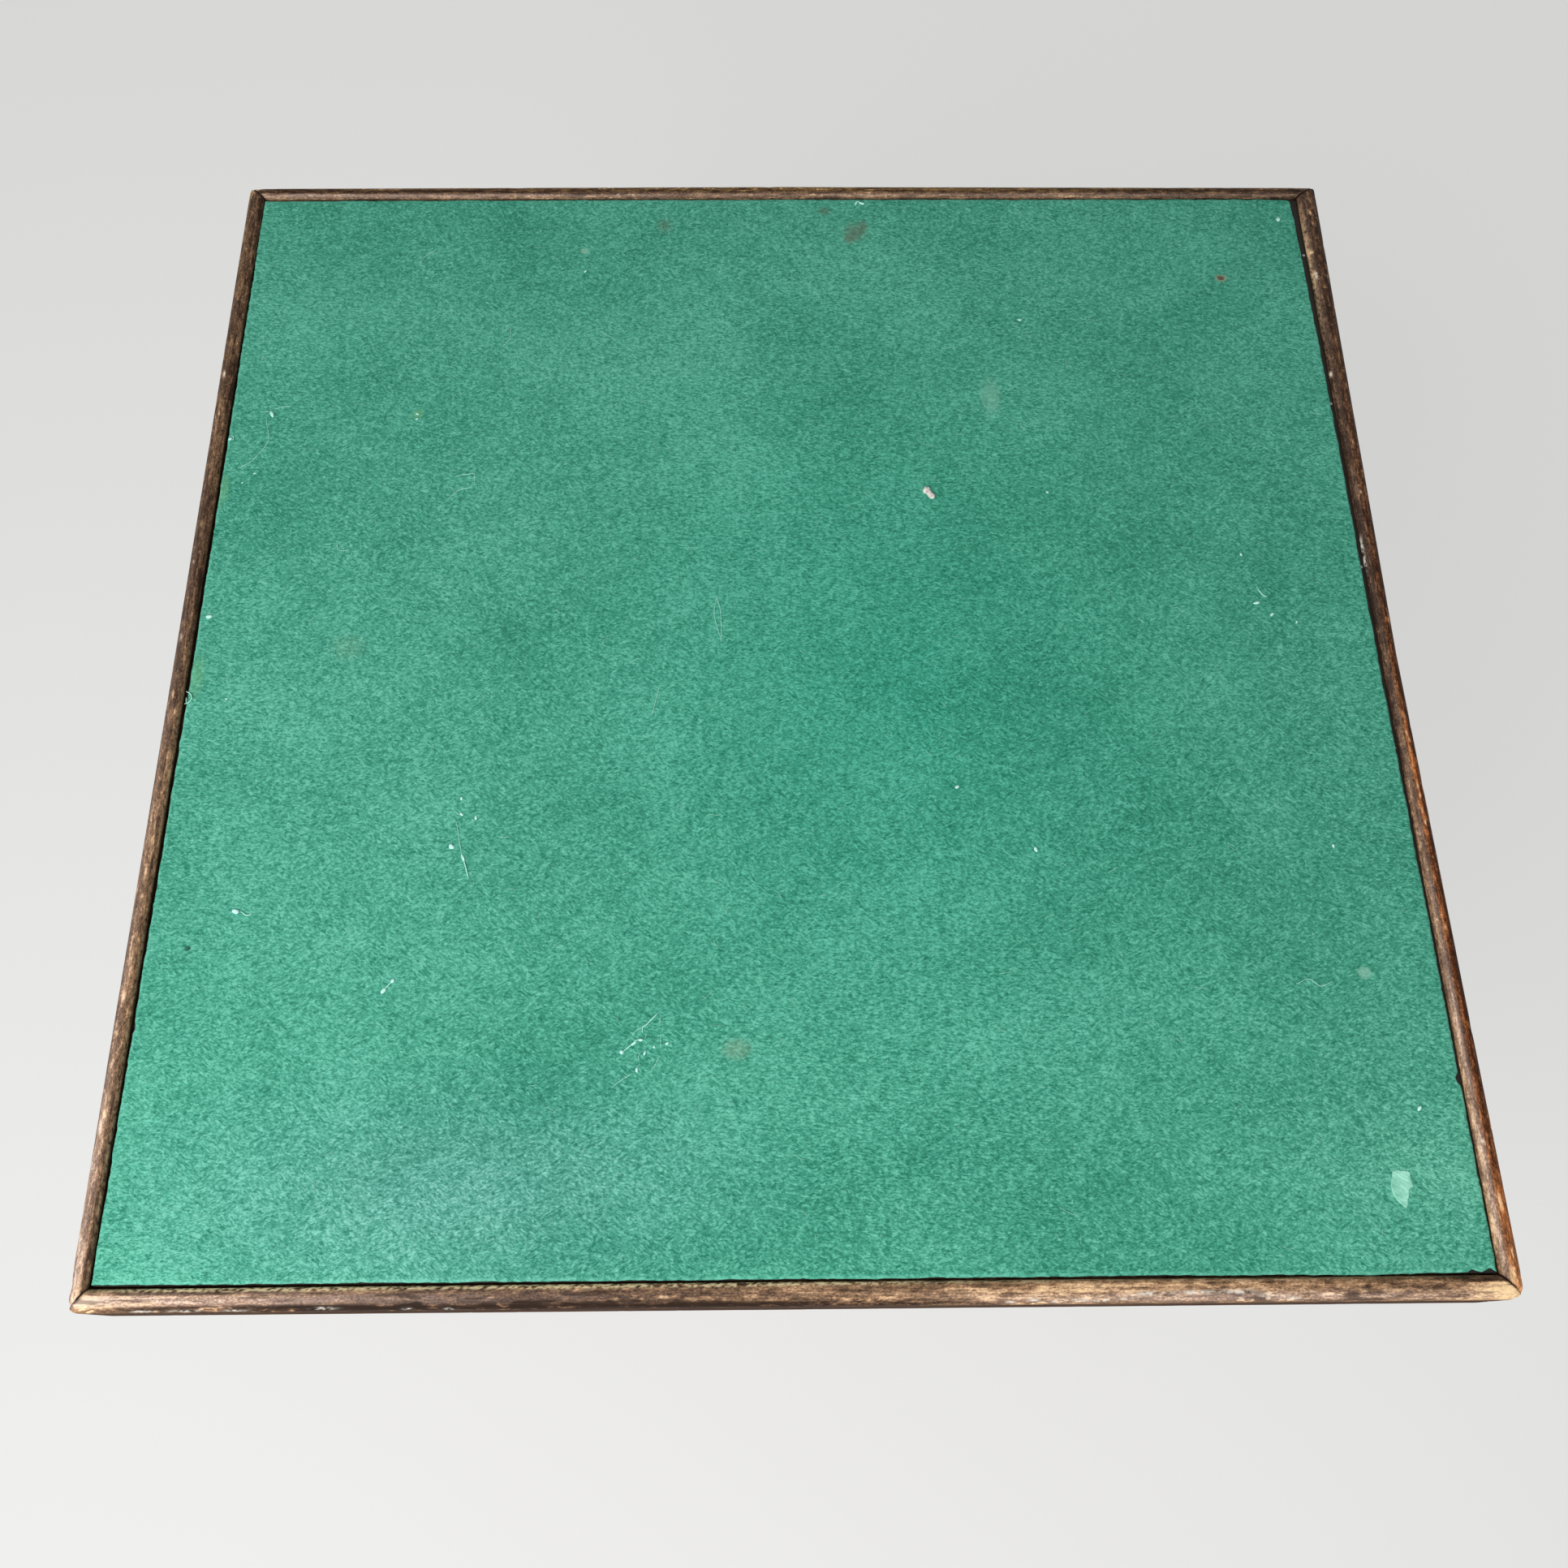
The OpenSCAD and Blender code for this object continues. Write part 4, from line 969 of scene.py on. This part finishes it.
# Pale flecks on the baize: x, y and size
FLECKS = (
    (350, 349, 3.6), (160, 260, 2.2), (-245, 183, 2), (98, -88, 2.6), (142, -128, 2.4), (317, -127, 2),
    (341, -281, 2.4), (-195, -103.6, 2.2), (-186.4, -106, 2.2), (-195.8, -93.6, 1.6), (302.2, 28.6, 2.2),
    (316.8, 22.9, 1.4), (288.2, 72.2, 1.9), (168, 120, 1.9), (-245, 179, 1.5), (-139, 303, 2),
    (-343, -27, 1.6), (-346.4, 136.4, 1.4), (-353.6, 129.2, 1.1), (-71.2, -241.6, 1.6),
    (-78.4, -243.6, 1.3), (-87.6, -256.4, 2.2),
)
# Longer crumbs: x, y, half length, half width and turn
CRUMBS = (
    (-341, 183.2, 2.7, 1.2, -65), (-192.2, -131, 2, 0.8, -65), (-319.6, -163, 2.1, 1.4, -20),
    (-231, -210.6, 1.8, 1.3, 50), (-226.2, -204.8, 1.3, 1, 50), (-96.2, -246.4, 1.2, 1.1, 0),
    (-86, -239.6, 1.6, 0.8, 0), (-89.6, -241.6, 1.8, 0.7, 35), (293.6, 36.8, 2.1, 0.9, 15),
    (-83.6, -247, 1.6, 0.6, 70), (-199.3, -124.2, 1.7, 1.4, -50), (-361.5, 30.2, 2.1, 1.3, 10),
    (-365.9, 163.4, 1.4, 1.1, 40), (50.8, 364.4, 1.7, 0.7, 62), (54.6, 364.1, 2, 0.8, -18),
)


def lint_material(name, color):
    paint = Paint(name)
    cloud = paint.noise(900)
    darker = tuple(0.8 * channel for channel in color)
    paint.bump(cloud, 0.1, 0.5)
    return paint.finish(cloud.ramp(((0.35, darker), (0.62, color))), 0.9, 0.2)


def build_threads(material):
    parts = []
    for number, thread in enumerate(THIN_THREADS + THICK_THREADS):
        path = lying_path(np.reshape(thread, (-1, 2)), 0.5, 300 + number)
        radius = THIN_RADIUS if number < len(THIN_THREADS) else THICK_RADIUS
        from_end = np.minimum(np.arange(len(path)), np.arange(len(path))[::-1])
        parts.append(tube(path, radius * np.clip(0.45 + 0.2 * from_end, 0, 1)))
    lay_on_top("loose_threads", parts, material)


def build_lint(material):
    """Short stray fibres scattered over the cloth."""
    rng = np.random.default_rng(7)
    parts = []
    for number in range(STRAY_FIBRES):
        start = rng.uniform(-358, 358, 2)
        turn = rng.uniform(0, 2 * math.pi)
        length = rng.gamma(3, 1.3)
        bend = rng.normal(0, 0.5)
        middle = start + 0.5 * length * np.array([math.cos(turn), math.sin(turn)])
        end = middle + 0.5 * length * np.array([math.cos(turn + bend), math.sin(turn + bend)])
        path = lying_path((start, middle, end), 0.35, 500 + number, 0.6)
        parts.append(tube(path, np.full(len(path), rng.uniform(0.06, 0.13)), 4))
    lay_on_top("stray_fibres", parts, material)


def lump(x, y, long, wide, high, turn, seed, rings, sides):
    """An uneven closed crumb lying on the baize."""
    polar = np.linspace(0, math.pi, rings + 2)[1:-1]
    around = np.linspace(0, 2 * math.pi, sides, endpoint=False)
    p, q = np.meshgrid(polar, around, indexing="ij")
    uneven = 0.75 + 0.5 * value_noise(2.2 * np.cos(q) + 9, 2.2 * np.sin(q) + 2.5 * p, seed)
    px = long * np.sin(p) * np.cos(q) * uneven
    py = wide * np.sin(p) * np.sin(q) * uneven
    pz = high * np.cos(p) * uneven
    wx = x + px * math.cos(turn) - py * math.sin(turn)
    wy = y + px * math.sin(turn) + py * math.cos(turn)
    verts = np.stack([wx, wy, BAIZE_TOP + 0.45 * high + pz], axis=-1).reshape(-1, 3)
    return verts, sweep_faces(rings, sides)


def build_flecks(material):
    parts = []
    rng = np.random.default_rng(11)
    for number, (x, y, size) in enumerate(FLECKS):
        long = 0.6 * size * rng.uniform(0.9, 1.3)
        parts.append(lump(x, y, long, 0.4 * size, 0.32, rng.uniform(0, 3.1), 600 + number, 4, 8))
    for number, (x, y, long, wide, turn) in enumerate(CRUMBS):
        parts.append(lump(x, y, long, wide, 0.5, math.radians(turn), 650 + number, 6, 12))
    for number in range(SMALL_FLECKS):
        x, y = rng.uniform(-355, 355, 2)
        size = rng.uniform(0.35, 0.7)
        parts.append(lump(x, y, 0.5 * size, 0.36 * size, 0.2, rng.uniform(0, 3.1), 700 + number, 3, 6))
    lay_on_top("pale_flecks", parts, material)


def build_fluff(material):
    """The tuft of fluff behind the middle: two uneven lumps and a curl of fibre."""
    turn = math.atan2(117.4 - 123.3, 93.6 - 90)
    large = lump(90, 121, 3.3, 2.5, 1.3, turn, 31, 12, 24)
    small = lump(92.3, 117.6, 2.7, 2.1, 1, turn + 0.4, 33, 12, 24)
    curl = lying_path(((88.4, 123.6), (90.2, 121.8), (91.8, 118.6), (93.9, 116)), 0.6, 32, 0.5)
    curl[:, 2] += 1.2
    lay_on_top("fluff_tuft", [large, small, tube(curl, np.full(len(curl), 0.28))], material)


def fluff_material():
    paint = Paint("pale_fluff")
    strands = paint.streaks((900, 2600, 900), 3, 0.6, 1, 55)
    tint = strands.ramp(((0.34, (0.56, 0.48, 0.44)), (0.6, (0.9, 0.9, 0.86))))
    tint = paint.mix(paint.noise(420).remap(0.5, 0.6, 0, 0.5), tint, (0.46, 0.32, 0.27))
    paint.bump(strands, 0.5, 1)
    return paint.finish(tint, 0.95, 0.15)


# Outline of the dried drip near the front right corner
DRIP = (
    (320.5, -314.6), (323, -314), (325.1, -314.6), (327.8, -314.4), (329.8, -315.5), (329.6, -317.7),
    (330.2, -321.1), (330.3, -322.8), (327.8, -324.5), (327.2, -327.9), (326, -330.1), (326.1, -331.8),
    (324.5, -333.9), (322.6, -332.1), (320.4, -329.6), (318.8, -326.2), (318.6, -320.6), (319.8, -317.6),
)
# Its rings from the hidden underside to the middle: share of the outline and height over the cloth
DRIP_RINGS = ((1, -0.4), (1, 0.1), (0.985, 0.22), (0.93, 0.26), (0.82, 0.18), (0.5, 0.17), (0.15, 0.18))


def build_drip(material):
    """A thin dried film with a slightly raised edge."""
    outline = curve_through(DRIP + DRIP[:1], 0.7)[:-1]
    middle = outline.mean(axis=0)
    n = len(outline)
    verts = np.vstack([np.column_stack([middle + (outline - middle) * scale, np.full(n, BAIZE_TOP + rise)])
                       for scale, rise in DRIP_RINGS])
    lay_on_top("dried_drip", [(verts, sweep_faces(len(DRIP_RINGS), n))], material)


def drip_material():
    paint = Paint("dried_drip")
    weave = paint.streaks((250, 820, 300), 3, 0.6, 0, 30)
    tint = weave.ramp(((0.32, (0.22, 0.56, 0.42)), (0.64, (0.37, 0.76, 0.6))))
    tint = paint.mix(paint.noise(160).remap(0.45, 0.65, 0, 0.35), tint, BAIZE_MEAN)
    paint.bump(weave, 0.35, 0.8)
    return paint.finish(tint, 0.55, 0.3)


# The model's own pieces, with their finishes

def dress(node, material, bevel_mm=0):
    """Gives a node its material and, where it has sharp edges, a small bevel."""
    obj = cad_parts[node]
    obj.data.materials.clear()
    obj.data.materials.append(material)
    if bevel_mm:
        bevel = obj.modifiers.new("worn_edge", "BEVEL")
        bevel.width = bevel_mm * MM
        bevel.segments = 2
        bevel.limit_method = "ANGLE"
        bevel.angle_limit = math.radians(35)


def dress_nodes():
    dull = steel_material("dull_tarnished_steel", (0.42, 0.4, 0.37), (0.16, 0.145, 0.13), 0.75, 0.46)
    bright = steel_material("bright_worn_steel", (0.66, 0.64, 0.6), (0.36, 0.34, 0.31), 0.25, 0.3)
    block = block_material()
    dress("playing_board", plywood_material())
    for corner, name in enumerate(CORNER_NAMES):
        dress("leg_" + name, leg_material(corner), 0.35)
        dress("corner_block_" + name, block, 0.4)
    for node in sorted(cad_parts):
        if node.startswith(("hinge_plate", "stay_plate", "stay_upper", "stay_lower")):
            dress(node, dull, 0.25)
        elif node in ("board_pins", "mitre_pins", "block_screws", "hinge_spacers", "hinge_washers"):
            dress(node, dull)
        elif node.startswith(("hinge_stud", "leg_stud", "foot_glide", "knuckle", "stay_stud", "plate_screw")):
            dress(node, bright)


# Room, light and camera

FOCAL_PX = 1661
PHOTO_PX = 1932
# The picture is cut from a taller one, so the lens looks a little below its middle
AXIS_DOWN_PX = 96
CAMERA_AT = (-0.014, -0.4073, 1.4199)
CAMERA_TURNS_DEG = (-1.797, 20.322, 1.317)
SENSOR_MM = 36
FLOOR_HALF = 9000
FLOOR_EVENED = 0.62


def add_camera():
    data = bpy.data.cameras.new("camera")
    data.sensor_width = SENSOR_MM
    data.lens = SENSOR_MM * FOCAL_PX / PHOTO_PX
    data.shift_y = AXIS_DOWN_PX / PHOTO_PX
    yaw, tilt, roll = (math.radians(angle) for angle in CAMERA_TURNS_DEG)
    turned = Matrix.Rotation(yaw, 4, "Z") @ Matrix.Rotation(tilt, 4, "X") @ Matrix.Rotation(roll, 4, "Z")
    rig = in_scene("camera", data)
    rig.matrix_world = Matrix.Translation(CAMERA_AT) @ turned
    bpy.context.scene.camera = rig


def floor_material():
    """A pale matt floor. The camera and gloss see it evened out, with the object's shadow kept."""
    paint = Paint("pale_floor")
    paint.finish((0.8, 0.8, 0.79), 0.9, 0.2)
    seen = paint.seen_by("Is Camera Ray", "Is Glossy Ray") * FLOOR_EVENED
    even = paint.node("Emission", 0, {}, (0.83, 0.83, 0.82))
    blend = paint.node("MixShader", 0, {}, seen, Wire(paint, paint.shader.outputs[0]), even)
    paint.feed(paint.tree.nodes["Material Output"].inputs["Surface"], blend)
    return paint.made


def add_floor():
    corners = [quarter_turned(-FLOOR_HALF, -FLOOR_HALF, turns) + (0,) for turns in range(4)]
    make_object("floor", corners, [(0, 1, 2, 3)], floor_material(), False)


def add_area_light(name, power, size, place, aim):
    data = bpy.data.lights.new(name, "AREA")
    data.energy = power
    data.shape = "SQUARE"
    data.size = size
    rig = in_scene(name, data)
    rig.location = place
    rig.rotation_euler = (Vector(aim) - Vector(place)).to_track_quat("-Z", "Y").to_euler()


def add_world(fill, background):
    """An even soft fill. What the camera, gloss and glass see of it is a pale background."""
    sky = Paint("room", "worlds", "Background")
    bpy.context.scene.world = sky.made
    seen = sky.seen_by("Is Camera Ray", "Is Glossy Ray", "Is Transmission Ray")
    sky.feed(sky.shader.inputs["Color"], (1, 1, 1))
    sky.feed(sky.shader.inputs["Strength"], seen.remap(0, 1, fill, background, "LINEAR"))


def add_room():
    add_floor()
    add_area_light("key", 40, 1.2, (-0.95, -1.2, 1.85), (0, 0, 0.6))
    add_area_light("front_fill", 4, 0.8, (0.6, -1.3, 1.3), (0.25, -0.3, 0.65))
    add_world(fill=0.36, background=0.85)
    bpy.context.scene.view_settings.view_transform = "Standard"


def build_top():
    rail = rail_material()
    for side in range(4):
        build_rail(side, rail)
    build_baize(baize_material())
    build_threads(lint_material("pale_thread", (0.46, 0.86, 0.74)))
    build_lint(lint_material("stray_fibre", (0.36, 0.72, 0.57)))
    build_flecks(lint_material("pale_fleck", (0.52, 0.88, 0.8)))
    build_fluff(fluff_material())
    build_drip(drip_material())


add_camera()
add_room()
build_top()
dress_nodes()
